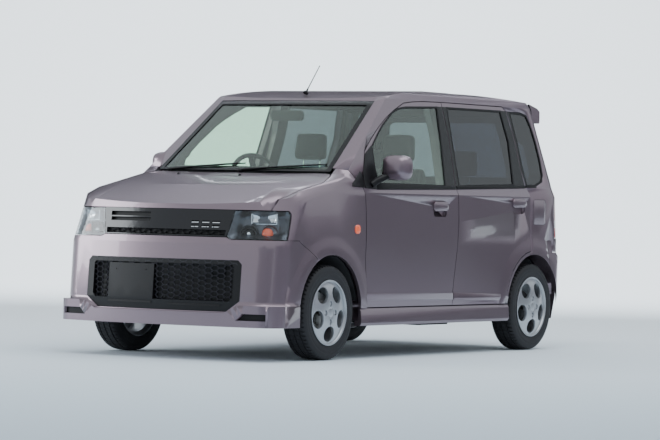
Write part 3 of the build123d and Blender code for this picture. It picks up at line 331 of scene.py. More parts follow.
def tyre_mesh():
    side = [(165.5, -59.5), (184.0, -72.0), (187.0, -74.0), (190.0, -75.5), (193.0, -75.5), (195.0, -74.5),
            (210.0, -76.6), (224.0, -77.3), (226.0, -76.6), (228.0, -77.3), (240.0, -75.8), (250.0, -73.0),
            (257.0, -68.5), (261.5, -63.0), (263.6, -57.0)]
    shoulder = [(crown(y), y) for y in (-50, -43, -40.5)]
    row = side + shoulder
    groove_deep, groove_half, slot_deep, sipe_deep = 6.5, 2.6, 5.5, 3.0
    for middle in (-37, 0, 37):
        row += [(crown(middle) - groove_deep, middle - groove_half),
                (crown(middle) - groove_deep, middle + groove_half)]
        if middle < 37:
            row += [(crown(y), y) for y in (middle + 3.5, middle + 12, middle + 25, middle + 33.5)]
    row += [(r, -y) for r, y in reversed(shoulder)]
    row += [(r, -y) for r, y in reversed(side)]
    row += [(163.0, 50.0), (163.0, -50.0)]
    pitches = 62
    steps = [0.0, 0.16, 0.22, 0.62, 0.94]
    bm = bmesh.new()
    rings = []
    for i in range(pitches):
        for step, share in enumerate(steps):
            ring = []
            for r, y in row:
                turn = 2 * math.pi * (i + share + 0.006 * abs(y) * (1 if r > 240 else 0)) / pitches
                slot = step in (0, 1) and r > 255 and 40 < abs(y) < 66
                sipe = step in (0, 1) and r > 262 and 8 < abs(y) < 30
                radius = (r - (slot_deep if slot else sipe_deep if sipe else 0.0)) / 1000
                ring.append(bm.verts.new((radius * math.sin(turn), y / 1000, radius * math.cos(turn))))
            rings.append(ring)
    skin_from(bm, rings + rings[:1], True)
    return finished(bm, "radial_tyre", 32)


identity = Matrix.Identity(4)


def put(mesh, name, body, place=identity, material=None, stands_for=()):
    """A finished piece: its place goes into its mesh and its object stays at the origin, riding on a body."""
    mesh = mesh.copy()
    mesh.name = name
    mesh.transform(place)
    if place.determinant() < 0:
        mesh.flip_normals()
    if material:
        mesh.materials.clear()
        mesh.materials.append(material)
    piece = linked(name, mesh)
    if stands_for:
        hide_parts(*stands_for)
    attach(piece, body)
    return piece


wheel_places = {}
for end, axle_x in (("front", 1.041), ("rear", -1.299)):
    for hand, sign in (("left", 1), ("right", -1)):
        turn = Matrix.Rotation(0 if sign > 0 else math.pi, 4, "Z")
        wheel_places[end, hand] = Matrix.Translation((axle_x, sign * 0.6475, 0.266)) @ turn
tyre = tyre_mesh()
tyre_rubber = grained("black_tyre_rubber", ("#1a191c", "#232226"), (40.0, 4.0), {
    "Roughness": 0.62, "Specular IOR Level": 0.4}, (0.15, 0.0005), (700.0, 2.0))
for (end, hand), place in wheel_places.items():
    put(tyre, f"tyre_tread_{end}_{hand}", f"{end}_wheel_{hand}", place, tyre_rubber, [f"tyre_{end}_{hand}"])


# ---------------------------------------------------------------- Alloy rims
# Low-pressure cast aluminium, painted silver: a domed face with five oval windows, four
# lug-nut pockets on a 100 mm circle and a plain centre cap, in a barrel with a rounded lip.
def turned_mesh(name, profile, steps=96, closed=True, angle=35.0):
    """A solid of revolution about the Y axis from (radius, y) points in millimetres."""
    bm = bmesh.new()
    rings = []
    for i in range(steps):
        turn = 2 * math.pi * i / steps
        rings.append([bm.verts.new((r * math.cos(turn) / 1000, y / 1000, r * math.sin(turn) / 1000))
                      for r, y in profile])
    skin_from(bm, rings + rings[:1], closed)
    return finished(bm, name, angle)


def oval_plug(centre_r, turn_deg, half_r, half_t, y0, y1, flare, steps=40):
    """A tapered oval cutter standing along Y, wider at its outer end."""
    bm = bmesh.new()
    turn = math.radians(turn_deg)
    outward = Vector((math.cos(turn), 0, math.sin(turn)))
    along = Vector((-math.sin(turn), 0, math.cos(turn)))
    rings = []
    for y, grow in ((y0, 0.0), (y1, flare)):
        ring = []
        for i in range(steps):
            a = 2 * math.pi * i / steps
            p = outward * (centre_r + (half_r + grow) * math.cos(a)) + along * (half_t + grow) * math.sin(a)
            ring.append(bm.verts.new((p.x / 1000, y / 1000, p.z / 1000)))
        rings.append(ring)
    capped_skin(bm, rings)
    return finished(bm, "oval_plug")


def applied(thing):
    """The object's mesh with its modifiers in it."""
    bpy.context.view_layer.update()
    return bpy.data.meshes.new_from_object(thing.evaluated_get(bpy.context.evaluated_depsgraph_get()))


def add_bevel(thing, width, segments, angle):
    bevel = thing.modifiers.new("edge", "BEVEL")
    bevel.width = width
    bevel.segments = segments
    bevel.limit_method = "ANGLE"
    bevel.angle_limit = math.radians(angle)


def cut_and_rounded(mesh, cutters, width, name):
    """The mesh with the cutters taken out of it and its sharp edges rounded."""
    blank = linked("blank", mesh)
    tools = [linked("cutter", cutter) for cutter in cutters]
    for tool in tools:
        hole = blank.modifiers.new("hole", "BOOLEAN")
        hole.object = tool
        hole.solver = "EXACT"
    add_bevel(blank, width, 3, 38)
    result = applied(blank)
    for tool in (*tools, blank):
        bpy.data.objects.remove(tool)
    result.name = name
    result.shade_smooth()
    result.set_sharp_from_angle(angle=math.radians(40))
    return result


def make_rims():
    barrel = turned_mesh("rim_barrel", [
        (165.0, -60.0), (165.0, 60.0), (182.0, 72.5), (183.5, 74.0), (183.5, 77.0), (182.0, 78.0),
        (178.0, 78.0), (175.0, 76.5), (173.5, 72.0), (171.0, 66.0), (160.0, 60.0), (158.0, 40.0),
        (156.0, -52.0), (171.0, -68.0), (176.0, -72.0), (182.0, -72.5)])
    face = turned_mesh("rim_face", [
        (0.0, 86.0), (40.0, 86.0), (62.0, 86.0), (78.0, 85.0), (100.0, 82.0), (125.0, 77.5), (150.0, 71.5),
        (162.0, 67.5), (172.0, 67.5), (171.0, 58.0), (150.0, 56.0), (120.0, 62.0), (95.0, 66.0),
        (62.0, 66.0), (40.0, 66.0), (0.0, 66.0)], closed=False)
    windows = [oval_plug(120, 270 + 72 * k, 39, 47, 30, 110, 8) for k in range(5)]
    pockets = [oval_plug(50, 90 * k, 14, 14, 74, 110, 3, 28) for k in range(4)]
    cap_seat = oval_plug(0, 0, 29, 29, 84.2, 110, 1, 40)
    face = cut_and_rounded(face, windows + pockets + [cap_seat], 0.0022, "rim_face")
    nut = turned_mesh("lug_nut", [
        (0.0, 83.0), (5.0, 83.0), (8.5, 81.0), (9.5, 79.0), (9.5, 74.0)], 6, False, 20)
    washer = turned_mesh("nut_seat", [(9.0, 76.0), (13.0, 76.0), (13.4, 74.5)], 24, False)
    cap = turned_mesh("centre_cap", [
        (0.0, 86.4), (20.0, 86.2), (25.0, 85.6), (27.5, 84.6), (28.0, 83.4)], 48, False)
    return barrel, face, nut, washer, cap


silver = grained("silver_painted_cast_aluminium", ("#aeb0b5", "#c0c2c6"), (500.0, 2.0), {
    "Metallic": 0.85, "Roughness": 0.3}, (0.04, 0.0004))
barrel, rim_face, nut, nut_seat, centre_cap = make_rims()
for (end, hand), place in wheel_places.items():
    body = f"{end}_wheel_{hand}"
    put(barrel, f"rim_barrel_{end}_{hand}", body, place, silver, [f"rim_{end}_{hand}"])
    put(rim_face, f"rim_face_{end}_{hand}", body, place, silver)
    put(centre_cap, f"centre_cap_{end}_{hand}", body, place, silver)
    for k in range(4):
        turn = math.radians(90 * k)
        shift = Matrix.Translation((0.05 * math.cos(turn), 0, 0.05 * math.sin(turn)))
        put(nut, f"lug_nut_{end}_{hand}_{k}", body, place @ shift, silver)
        put(nut_seat, f"nut_seat_{end}_{hand}_{k}", body, place @ shift, silver)


# ---------------------------------------------------------------- Side trim and pillar films
# Matt black film on the window pillars, rubber belt strips and a body-colour rubbing strip.
# Each is a thin plate that lies on the pressed side and follows its bends.
side_bends = ((0.185, 0.712), (0.330, 0.724), (0.640, 0.726), (0.940, 0.722), (0.990, 0.703), (1.490, 0.583),
              (1.526, 0.560), (1.552, 0.520))


def side_y(z):
    """How far out the pressed side stands at one height."""
    for (low, low_y), (high, high_y) in zip(side_bends, side_bends[1:]):
        if z <= high:
            break
    return low_y + (high_y - low_y) * (z - low) / (high - low)


def grown(outline, amount):
    """A closed outline moved outwards by amount, its corners mitred."""
    area = sum(a[0] * b[1] - b[0] * a[1] for a, b in zip(outline, outline[1:] + outline[:1]))
    amount = amount if area > 0 else -amount
    moved = []
    for before, here, after in zip(outline[-1:] + outline[:-1], outline, outline[1:] + outline[:1]):
        one = (Vector(here) - Vector(before)).normalized()
        two = (Vector(after) - Vector(here)).normalized()
        lean = Vector((one.y + two.y, -one.x - two.x))
        lean = lean / max(0.35, 1 + one.dot(two))
        moved.append((here[0] + lean.x * amount, here[1] + lean.y * amount))
    return moved


def bevelled(mesh, width, segments=2, angle=40):
    """The mesh with its sharp edges rounded off."""
    blank = linked("blank", mesh)
    add_bevel(blank, width, segments, angle)
    result = applied(blank)
    bpy.data.objects.remove(blank)
    return result


def lay_plate(bm, axis, surface, low, high):
    """Thickens flat faces along an axis and lays them on a surface, from low to high in mm above it."""
    bmesh.ops.triangulate(bm, faces=bm.faces[:])
    rim = bmesh.ops.extrude_face_region(bm, geom=bm.faces[:])
    for vert in rim["geom"]:
        if isinstance(vert, bmesh.types.BMVert):
            vert.co[axis] = 1.0
    for vert in bm.verts:
        vert.co[axis] = surface(vert.co) + (high if vert.co[axis] > 0.5 else low) / 1000


def cut_along(bm, place, way):
    bmesh.ops.bisect_plane(bm, geom=bm.verts[:] + bm.edges[:] + bm.faces[:], plane_co=place, plane_no=way)


def side_plate(name, outline, low, high, hole=None, bevel=0.0):
    """A plate on the left side, low to high above the pressed skin; outline and hole are (x, z) in mm."""
    bm = bmesh.new()
    loops = [[bm.verts.new((x / 1000, 0, z / 1000)) for x, z in loop] for loop in (outline, hole or ())]
    if hole:
        skin_from(bm, loops, True)
    else:
        bm.faces.new(loops[0])
    for level, _ in side_bends:
        cut_along(bm, (0, 0, level), (0, 0, 1))
    lay_plate(bm, 1, lambda co: side_y(co.z), low, high)
    mesh = finished(bm, name, 28, False)
    if bevel:
        mesh = bevelled(mesh, bevel)
        mesh.shade_smooth()
        mesh.set_sharp_from_angle(angle=math.radians(28))
    return mesh


mirrored = Matrix.Scale(-1, 4, (0, 1, 0))


def both(mesh, name, body, material):
    """A piece of the left side and its mirror image; {} in the body's name takes the hand."""
    for hand, place in (("left", identity), ("right", mirrored)):
        put(mesh, f"{name}_{hand}", body.format(hand), place, material)


def moulded(name, dark, light, rough, grain, bump_height, shine=0.3):
    """Moulded plastic or rubber: a fine grain in its colour and its surface."""
    surface = {"Roughness": rough, "Specular IOR Level": shine}
    return grained(name, (dark, light), (grain, 3.0), surface, (0.3, bump_height))


pillar_film = moulded("black_pillar_film", "#08080a", "#0c0c0f", 0.25, 600.0, 0.0001)
seal_rubber = moulded("black_seal_rubber", "#0c0b0d", "#131215", 0.55, 500.0, 0.0003)
grained_black = moulded("grained_black_moulding", "#0b0a0d", "#111014", 0.42, 900.0, 0.0002)
front_glass_line = [(520, 993), (520, 1110), (510, 1207), (434, 1270), (349, 1333), (215, 1409), (142, 1434),
                    (51, 1446), (-319, 1459), (-291, 1229), (-249, 991)]
rear_glass_line = [(-433, 1460), (-1087, 1462), (-1123, 1274), (-1082, 1010), (-410, 993)]
quarter_glass_line = [(-1200, 1458), (-1341, 1458), (-1408, 1445), (-1443, 1377), (-1468, 1283),
                      (-1481, 1177), (-1479, 1082), (-1455, 1040), (-1362, 1011), (-1250, 1010),
                      (-1234, 1124), (-1225, 1288)]
for glass_name, line, carrier in (("front_door_glass", front_glass_line, "front_door_{}"),
                                  ("rear_door_glass", rear_glass_line, "rear_door_{}"),
                                  ("quarter_glass", quarter_glass_line, "body")):
    seal_name = glass_name + "_seal"
    both(side_plate(seal_name, grown(line, 5), -6.0, 0.9, grown(line, -7)), seal_name, carrier, seal_rubber)
front_film_line = [(-316, 1462), (-373, 1464), (-388, 1288), (-380, 1174), (-368, 1061), (-363, 994),
                   (-252, 992), (-294, 1229)]
rear_front_film_line = [(-380, 1464), (-436, 1464), (-413, 992), (-371, 993), (-376, 1061), (-388, 1174),
                        (-396, 1288)]
rear_back_film_line = [(-1084, 1466), (-1156, 1464), (-1196, 1288), (-1205, 1124), (-1222, 1010),
                       (-1080, 1008), (-1120, 1274)]
rear_pillar_film_line = [(-1164, 1464), (-1206, 1464), (-1230, 1288), (-1238, 1124), (-1254, 1006),
                         (-1232, 1008), (-1214, 1124), (-1206, 1288)]
front_strip_line = [(545, 961), (-366, 975), (-366, 993), (540, 995)]
rear_strip_line = [(-374, 976), (-1222, 995), (-1216, 1012), (-372, 994)]
quarter_strip_line = [(-1232, 997), (-1366, 999), (-1366, 1011), (-1230, 1012)]
# the sail: a fixed front part on the fender's corner and the mirror's foot on the door
sail_front_line = [(803, 972), (676, 968), (668, 1040), (690, 1062), (760, 1012), (800, 990)]
mirror_foot_line = [(669, 968), (546, 962), (528, 996), (526, 1110), (516, 1212), (602, 1163), (655, 1062),
                    (664, 1040)]
for name, line, low, high, bevel, carrier, material in (
        ("front_door_pillar_film", front_film_line, -0.3, 0.5, 0.0, "front_door_{}", pillar_film),
        ("rear_door_front_film", rear_front_film_line, -0.3, 0.5, 0.0, "rear_door_{}", pillar_film),
        ("rear_door_back_film", rear_back_film_line, -0.3, 0.5, 0.0, "rear_door_{}", pillar_film),
        ("rear_pillar_film", rear_pillar_film_line, -0.3, 0.5, 0.0, "body", pillar_film),
        ("front_belt_strip", front_strip_line, -1.0, 7.0, 0.002, "front_door_{}", seal_rubber),
        ("rear_belt_strip", rear_strip_line, -1.0, 7.0, 0.002, "rear_door_{}", seal_rubber),
        ("quarter_belt_strip", quarter_strip_line, -1.0, 5.0, 0.0015, "body", seal_rubber),
        ("sail_front", sail_front_line, -0.5, 2.0, 0.001, "body", grained_black),
        ("sail_mirror_foot", mirror_foot_line, -0.5, 5.0, 0.002, "front_door_{}", grained_black)):
    both(side_plate(name, line, low, high, bevel=bevel), name, carrier, material)
for door, line in (("front", [(655, 369), (655, 331), (-324, 322), (-324, 362)]),
                   ("rear", [(-332, 363), (-332, 322), (-920, 308), (-912, 330), (-900, 350)])):
    both(side_plate(f"{door}_rubbing_strip", line, -1.0, 6.0, bevel=0.0045), f"{door}_rubbing_strip",
         door + "_door_{}", body_paint)


# ---------------------------------------------------------------- Door handles, fuel lid and side lamps
# Painted flap handles over their recesses, the hinged fuel lid behind the left rear door
# and the round orange repeaters on the fenders.
def handle_flap(shift_x, shift_z):
    outline = [(-78, 850), (-78, 882), (-94, 899), (-226, 899), (-242, 884), (-242, 858), (-228, 846),
               (-96, 842)]
    return side_plate("handle_flap", [(x + shift_x, z + shift_z) for x, z in outline], -3.0, 9.0, bevel=0.004)


both(handle_flap(0, 0), "front_handle_flap", "front_door_{}", body_paint)
both(handle_flap(-953, 30), "rear_handle_flap", "rear_door_{}", body_paint)


def ring_of(cx, cz, half_x, half_z, corner, steps=6):
    """A rounded rectangle as (x, z) points in mm."""
    points = []
    for sx, sz, start in ((1, 1, 0), (-1, 1, 90), (-1, -1, 180), (1, -1, 270)):
        for i in range(steps + 1):
            a = math.radians(start + 90 * i / steps)
            points.append((cx + sx * (half_x - corner) + corner * math.cos(a),
                           cz + sz * (half_z - corner) + corner * math.sin(a)))
    return points


lid_line = ring_of(-1372, 848, 78, 76, 22)
# a black ring on the skin round the lid: painted shade for its gap
put(side_plate("fuel_lid_gap_painted_shade", grown(lid_line, 2.4), -0.5, 0.25, lid_line), "fuel_lid_gap_painted_shade", "body", identity,
    seal_rubber)
put(side_plate("fuel_lid", lid_line, -0.5, 0.9, bevel=0.0006), "fuel_lid", "body", identity, body_paint)


def lens_dome(name, cx, cz, half_x, half_z, height):
    """A shallow round-edged lens on the left side."""
    bm = bmesh.new()
    rings = []
    for grow, rise in ((1.0, -2.0), (1.0, 0.35), (0.93, 0.72), (0.72, 0.92), (0.4, 1.0)):
        loop = ring_of(cx, cz, half_x * grow, half_z * grow, min(half_x, half_z) * 0.8 * grow, 5)
        rise = rise * height if rise > 0 else rise
        y = side_y(cz / 1000) + rise / 1000
        rings.append([bm.verts.new((x / 1000, y, z / 1000)) for x, z in loop])
    capped_skin(bm, rings)
    return finished(bm, name, 50)


def ribs(tree, scale, way="Z", distortion=0.0):
    coords = add_node(tree, "ShaderNodeTexCoord")
    return add_node(tree, "ShaderNodeTexWave", {
        "Vector": (coords, "Object"), "Scale": scale, "Distortion": distortion}, bands_direction=way), 1


def tinted_lens(name, code, rib_scale, painted_glow=0.0):
    """Coloured acrylic with moulded ribs behind a smooth face. Its ribs are painted lighter as painted
    highlights, and it can take a faint painted glow though no lamp is lit.
    """
    material, tree = new_material(name)
    rib = ribs(tree, rib_scale)
    lit = [min(1.0, v * 1.35) for v in srgb(code)[:3]] + [1.0]
    surfaced(tree, {
        "Base Color": mixed(tree, rib, srgb(code), lit), "Roughness": 0.12, "Coat Weight": 0.6,
        "Emission Color": srgb(code), "Emission Strength": painted_glow, "Normal": raised(tree, rib, 0.25, 0.001)})
    return material


# the orange lenses take painted rib highlights and a faint painted glow
orange_acrylic = tinted_lens("orange_ribbed_acrylic", "#f0603a", 60.0, 0.12)
both(lens_dome("side_repeater", 763, 732, 27, 25, 7.0), "side_repeater", "body", orange_acrylic)


# ---------------------------------------------------------------- Headlamps
# A clear polycarbonate lens over a deep grey-plated bowl, with a fluted main reflector,
# a dark projector beside the grille and a round orange turn signal in its own dish.
def surface_of(node_name):
    mesh = nodes[node_name].data
    return BVHTree.FromPolygons([v.co for v in mesh.vertices], [tuple(p.vertices) for p in mesh.polygons])


def lamp_bowl():
    """A bowl behind the left lens: at its rim it meets the lens, and it sinks 67 mm behind it."""
    lens = surface_of("headlamp_lenses")
    columns, rows = 30, 14
    foot, head, deepest, gap, thick = 0.670, 0.822, 0.066, 0.0008, 0.003
    bm = bmesh.new()
    front, back = [], []
    for r in range(rows):
        height = foot + (head - foot) * r / (rows - 1)
        eye = Vector((1.300, 0.450, height))
        turns = [math.radians(quarter / 4) for quarter in range(-80, 440)]
        ways = [Vector((math.cos(turn), math.sin(turn), 0)) for turn in turns]
        seen = [way for way in ways if lens.ray_cast(eye, way)[0]]
        turns = [math.atan2(way.y, way.x) for way in seen]
        low, high = min(turns), max(turns)
        near, far = [], []
        for c in range(columns):
            turn = low + (high - low) * c / (columns - 1)
            way = Vector((math.cos(turn), math.sin(turn), 0))
            place = lens.ray_cast(eye, way)[0] or lens.ray_cast(eye, way.lerp(seen[len(seen) // 2], 0.01))[0]
            inward = min(c, columns - 1 - c) / (columns - 1) / 0.13
            upward = min(r, rows - 1 - r) / (rows - 1) / 0.2
            share = min(1.0, inward) * min(1.0, upward)
            sink = gap + deepest * share * share * (3 - 2 * share)
            near.append(bm.verts.new(place - way * sink))
            far.append(bm.verts.new(place - way * (sink + thick)))
        front.append(near)
        back.append(far)
    skin_from(bm, front)
    skin_from(bm, back)
    for end in (0, -1):
        skin_from(bm, [front[end], back[end]])
        skin_from(bm, [[row[end] for row in front], [row[end] for row in back]])
    return finished(bm, "lamp_bowl", 50)


def facing(x, y, z, turn_deg):
    """A frame whose Y axis looks out at turn_deg from straight ahead, for pieces turned about Y."""
    return Matrix.Translation((x, y, z)) @ Matrix.Rotation(math.radians(turn_deg - 90), 4, "Z")


def fluted_reflector():
    """A shallow chromed tray, 116 by 58 mm, with upright flutes and a rim. It looks along +Y."""
    bm = bmesh.new()
    across, up = 33, 9
    rows = []
    for j in range(up):
        v = -1 + 2 * j / (up - 1)
        row = []
        for i in range(across):
            u = -1 + 2 * i / (across - 1)
            wall = max(abs(u), abs(v)) > 0.97
            flute = 1.6 * (i % 4 in (1, 2))
            depth = 0.0 if wall else 22 * (1 - u * u) ** 0.5 * (1 - 0.6 * v * v) + 2 + flute
            row.append(bm.verts.new((u * 0.058, -depth / 1000, v * 0.029)))
        rows.append(row)
    skin_from(bm, rows)
    edge = rows[0] + [row[-1] for row in rows[1:]] + rows[-1][-2::-1] + [row[0] for row in rows[-2:0:-1]]
    outer = []
    for vert in edge:
        aside, above = (1 if place > 0 else -1 for place in (vert.co.x, vert.co.z))
        outer.append(bm.verts.new(vert.co + Vector((0.004 * aside, -0.001, 0.003 * above))))
    base = [bm.verts.new(v.co + Vector((0, -0.030, 0))) for v in outer]
    skin_from(bm, [edge, outer, base], True)
    bm.faces.new(base)
    return finished(bm, "fluted_reflector", 30)


def plated(name, code, rough, grain=300.0):
    """Vacuum-plated plastic: metal with a very slight mottle in its gloss."""
    material, tree = new_material(name)
    gloss = add_node(tree, "ShaderNodeMapRange", {
        "Value": noise(tree, grain, 2.0), "To Min": rough, "To Max": rough * 1.6})
    surfaced(tree, {"Base Color": srgb(code), "Metallic": 1.0, "Roughness": (gloss, 0)})
    return material


grey_plating = plated("grey_plated_lamp_bowl", "#63666d", 0.28)
chrome = plated("bright_chrome_plating", "#e4e6ea", 0.07)
lens_plastic = glass("clear_polycarbonate_lens", "#f2f6f8", 1.35, (8.0, 0.0), 0.03)
nodes["headlamp_lenses"].data.materials.clear()
nodes["headlamp_lenses"].data.materials.append(lens_plastic)
bowl = lamp_bowl()
dish = turned_mesh("signal_dish", [
    (0.0, -22.0), (20.0, -20.0), (34.0, -12.0), (43.0, 0.0), (45.5, 1.0), (46.0, -2.0), (36.0, -16.0),
    (21.0, -24.0), (0.0, -26.0)], 48, False, 50)
signal = turned_mesh("turn_signal_cover", [
    (0.0, 23.0), (10.0, 21.5), (20.0, 17.0), (28.0, 9.0), (32.0, -2.0), (30.0, -14.0),
    (0.0, -16.0)], 40, False, 50)
bezel = turned_mesh("projector_bezel", [
    (26.0, -16.0), (30.0, -4.0), (36.0, 3.0), (40.0, 4.0), (42.5, 1.0), (42.5, -20.0),
    (26.0, -22.0)], 48, True, 35)
eye_lens = turned_mesh("projector_eye", [
    (0.0, 4.0), (8.0, 2.8), (16.0, -1.5), (23.0, -9.0), (26.5, -18.0), (0.0, -20.0)], 40, False, 50)
eye_core = turned_mesh("projector_core", [
    (0.0, 9.0), (5.0, 7.6), (9.0, 3.5), (10.5, 0.0), (0.0, -2.0)], 24, False, 50)
wider, larger = Matrix.Diagonal((1.15, 1.0, 1.0, 1.0)), Matrix.Diagonal((1.18, 1.0, 1.18, 1.0))
lamp_pieces = (
    # mesh, name, material, x, y, z, turn from straight ahead, stretch
    (fluted_reflector(), "main_reflector", chrome, 1.500, 0.578, 0.783, 24, wider),
    (dish, "signal_dish", grey_plating, 1.487, 0.610, 0.703, 42, identity),
    (signal, "turn_signal", orange_acrylic, 1.500, 0.603, 0.699, 42, identity),
    (bezel, "projector_bezel", grained_black, 1.546, 0.510, 0.697, 14, larger),
    (eye_lens, "projector_eye", pillar_film, 1.546, 0.510, 0.697, 14, larger),
    (eye_core, "projector_core", chrome, 1.550, 0.511, 0.697, 14, larger))
for hand, place in (("left", identity), ("right", mirrored)):
    put(bowl, f"lamp_bowl_{hand}", "body", place, grey_plating,
        ["headlamp_housings"] if hand == "left" else ())
    for mesh, name, material, x, y, z, turn, stretch in lamp_pieces:
        put(mesh, f"{name}_{hand}", "body", place @ facing(x, y, z, turn) @ stretch, material)


# ---------------------------------------------------------------- Upper grille
# One gloss black moulding between the headlamps, with two intake slots on the right,
# six short bright bars on the left and a strip of honeycomb along its foot.
def nose_x(y, z):
    """The bumper's face ahead of one point across the car, in metres, between its corners."""
    middle = 1.678 - 0.022 * (z - 0.330) / 0.310 if z < 0.640 else 1.656 - 0.060 * (z - 0.640) / 0.300
    fall = 0.091 + 0.004 * (z - 0.330) / 0.310 if z < 0.640 else 0.095 + 0.030 * (z - 0.640) / 0.300
    return middle - fall * (y / 0.7245) ** 2


def nose_plate(name, outline, low, high, bevel=0.0, across=8):
    """A plate over the bumper's face, from low to high in mm ahead of it; outline is (y, z) in mm."""
    bm = bmesh.new()
    bm.faces.new([bm.verts.new((0, y / 1000, z / 1000)) for y, z in outline])
    left, right = min(y for y, z in outline), max(y for y, z in outline)
    for i in range(1, across):
        cut_along(bm, (0, (left + (right - left) * i / across) / 1000, 0), (0, 1, 0))
    lay_plate(bm, 0, lambda co: nose_x(co.y, co.z), low, high)
    mesh = finished(bm, name, 28)
    return bevelled(mesh, bevel) if bevel else mesh


def honeycomb_tree():
    """Hexagonal cells on a staggered grid, bent to a bumper: X across, Y up, Z ahead until the last step."""
    tree = bpy.data.node_groups.new("honeycomb", "GeometryNodeTree")
    tree.interface.new_socket("Geometry", in_out="OUTPUT", socket_type="NodeSocketGeometry")
    names = {}
    for name, kind in (("Columns", "Int"), ("Rows", "Int"), ("Column Pitch", "Float"), ("Row Pitch", "Float"),
                       ("Wall", "Float"), ("Depth", "Float"), ("Across", "Float"), ("Up", "Float"),
                       ("Ahead", "Float"), ("Curve", "Float"), ("Material", "Material")):
        socket = tree.interface.new_socket(name, in_out="INPUT", socket_type="NodeSocket" + kind)
        names[name] = socket.identifier
    given = add_node(tree, "NodeGroupInput")

    def calc(operation, *values):
        return add_node(tree, "ShaderNodeMath", dict(enumerate(values)), operation=operation), 0

    def geometry(kind, inputs):
        return add_node(tree, "GeometryNode" + kind, inputs), 0

    wide, high = [calc("MULTIPLY", calc("SUBTRACT", (given, count), 1.0), (given, pitch))
                  for count, pitch in (("Columns", "Column Pitch"), ("Rows", "Row Pitch"))]
    grid = geometry("MeshGrid", {"Size X": wide, "Size Y": high, "Vertices X": (given, "Columns"),
                                 "Vertices Y": (given, "Rows")})
    index = add_node(tree, "GeometryNodeInputIndex")
    column = calc("FLOOR", calc("DIVIDE", (index, 0), (given, "Rows")))
    half = calc("MULTIPLY", calc("MODULO", column, 2.0), 0.5)
    lifted = add_node(tree, "ShaderNodeCombineXYZ", {"Y": calc("MULTIPLY", half, (given, "Row Pitch"))})
    staggered = geometry("SetPosition", {"Geometry": grid, "Offset": (lifted, 0)})
    ring = geometry("MeshCircle", {"Vertices": 6, "Radius": 1.0})
    reach = calc("MULTIPLY", (given, "Column Pitch"), 2 / 3)
    rise = calc("MULTIPLY", (given, "Row Pitch"), 0.5 / math.sin(math.pi / 3))
    scale = add_node(tree, "ShaderNodeCombineXYZ", {"X": reach, "Y": rise, "Z": 1.0})
    cell = geometry("Transform", {"Geometry": ring, "Scale": (scale, 0)})
    path = geometry("MeshToCurve", {"Mesh": cell})
    section = geometry("CurvePrimitiveQuadrilateral", {"Width": (given, "Wall"), "Height": (given, "Depth")})
    walls = geometry("CurveToMesh", {"Curve": path, "Profile Curve": section})
    cells = geometry("InstanceOnPoints", {"Points": staggered, "Instance": walls})
    real = geometry("RealizeInstances", {"Geometry": cells})
    here = add_node(tree, "GeometryNodeInputPosition")
    apart = add_node(tree, "ShaderNodeSeparateXYZ", {0: (here, 0)})
    across = calc("ADD", (apart, 0), (given, "Across"))
    up = calc("ADD", (apart, 1), (given, "Up"))
    fall = calc("MULTIPLY", calc("MULTIPLY", across, across), (given, "Curve"))
    ahead = calc("ADD", calc("SUBTRACT", (given, "Ahead"), fall), (apart, 2))
    bent = add_node(tree, "ShaderNodeCombineXYZ", {"X": ahead, "Y": across, "Z": up})
    placed = geometry("SetPosition", {"Geometry": real, "Position": (bent, 0)})
    dressed = geometry("SetMaterial", {"Geometry": placed, "Material": (given, "Material")})
    add_node(tree, "NodeGroupOutput", {0: dressed})
    return tree, names


def made_honeycomb(name, values):
    """One honeycomb's mesh, its faces outward."""
    holder = linked(name, bpy.data.meshes.new(name))
    modifier = holder.modifiers.new("cells", "NODES")
    modifier.node_group = honeycomb
    for key, value in values.items():
        modifier[honeycomb_inputs[key]] = value
    result = applied(holder)
    bpy.data.objects.remove(holder)
    bm = bmesh.new()
    bm.from_mesh(result)
    bmesh.ops.recalc_face_normals(bm, faces=bm.faces[:])
    bm.to_mesh(result)
    bm.free()
    return result


gloss_black = moulded("gloss_black_grille_moulding", "#0b0b10", "#101016", 0.14, 200.0, 0.00003, 0.5)
rounded_copy("upper_grille", gloss_black)
honeycomb, honeycomb_inputs = honeycomb_tree()
strip = made_honeycomb("grille_strip_cells", {
    "Columns": 21, "Rows": 2, "Column Pitch": 0.0375, "Row Pitch": 0.027, "Wall": 0.003, "Depth": 0.008,
    "Across": 0.0, "Up": 0.6945, "Ahead": 1.6325, "Curve": 0.192, "Material": grained_black})
put(strip, "grille_strip_cells", "body")
for k, (y, z) in enumerate([(y, z) for y in (178, 244, 308) for z in (728, 752)]):
    bar_line = [(y + 1, z + 0.5), (y + 47, z + 0.5), (y + 50, z + 6.5), (y + 4, z + 6.5)]
    put(nose_plate("bright_bar", bar_line, -14.0, -1.5, 0.0012, 4), f"bright_bar_{k}", "body", identity,
        chrome)
put(nose_plate("grille_backing", [(-430, 690), (430, 690), (430, 818), (-430, 818)], -21.4, -17.5),
    "grille_backing", "body", identity, seal_rubber)


# ---------------------------------------------------------------- Lower grille
# A black frame in the bumper round a honeycomb of 78 by 29 mm pitch, with the blank board that
# carries the number plate bolted over its right half and thin intake slots under both, drawn as flat black
# strips of painted shade.
rounded_copy("lower_grille", grained_black)
# the honeycomb's ribs are painted paler than the black frame, as painted highlights on their edges
highlit_rib_plastic = moulded("grille_ribs_with_painted_highlight", "#26252b", "#33323a", 0.42, 500.0, 0.00003)
mesh_cells = made_honeycomb("lower_grille_cells", {
    "Columns": 25, "Rows": 8, "Column Pitch": 0.039, "Row Pitch": 0.0287, "Wall": 0.0028, "Depth": 0.010,
    "Across": 0.0, "Up": 0.4215, "Ahead": 1.6588, "Curve": 0.1753, "Material": highlit_rib_plastic})
put(mesh_cells, "lower_grille_cells", "body", stands_for=["grille_mesh"])
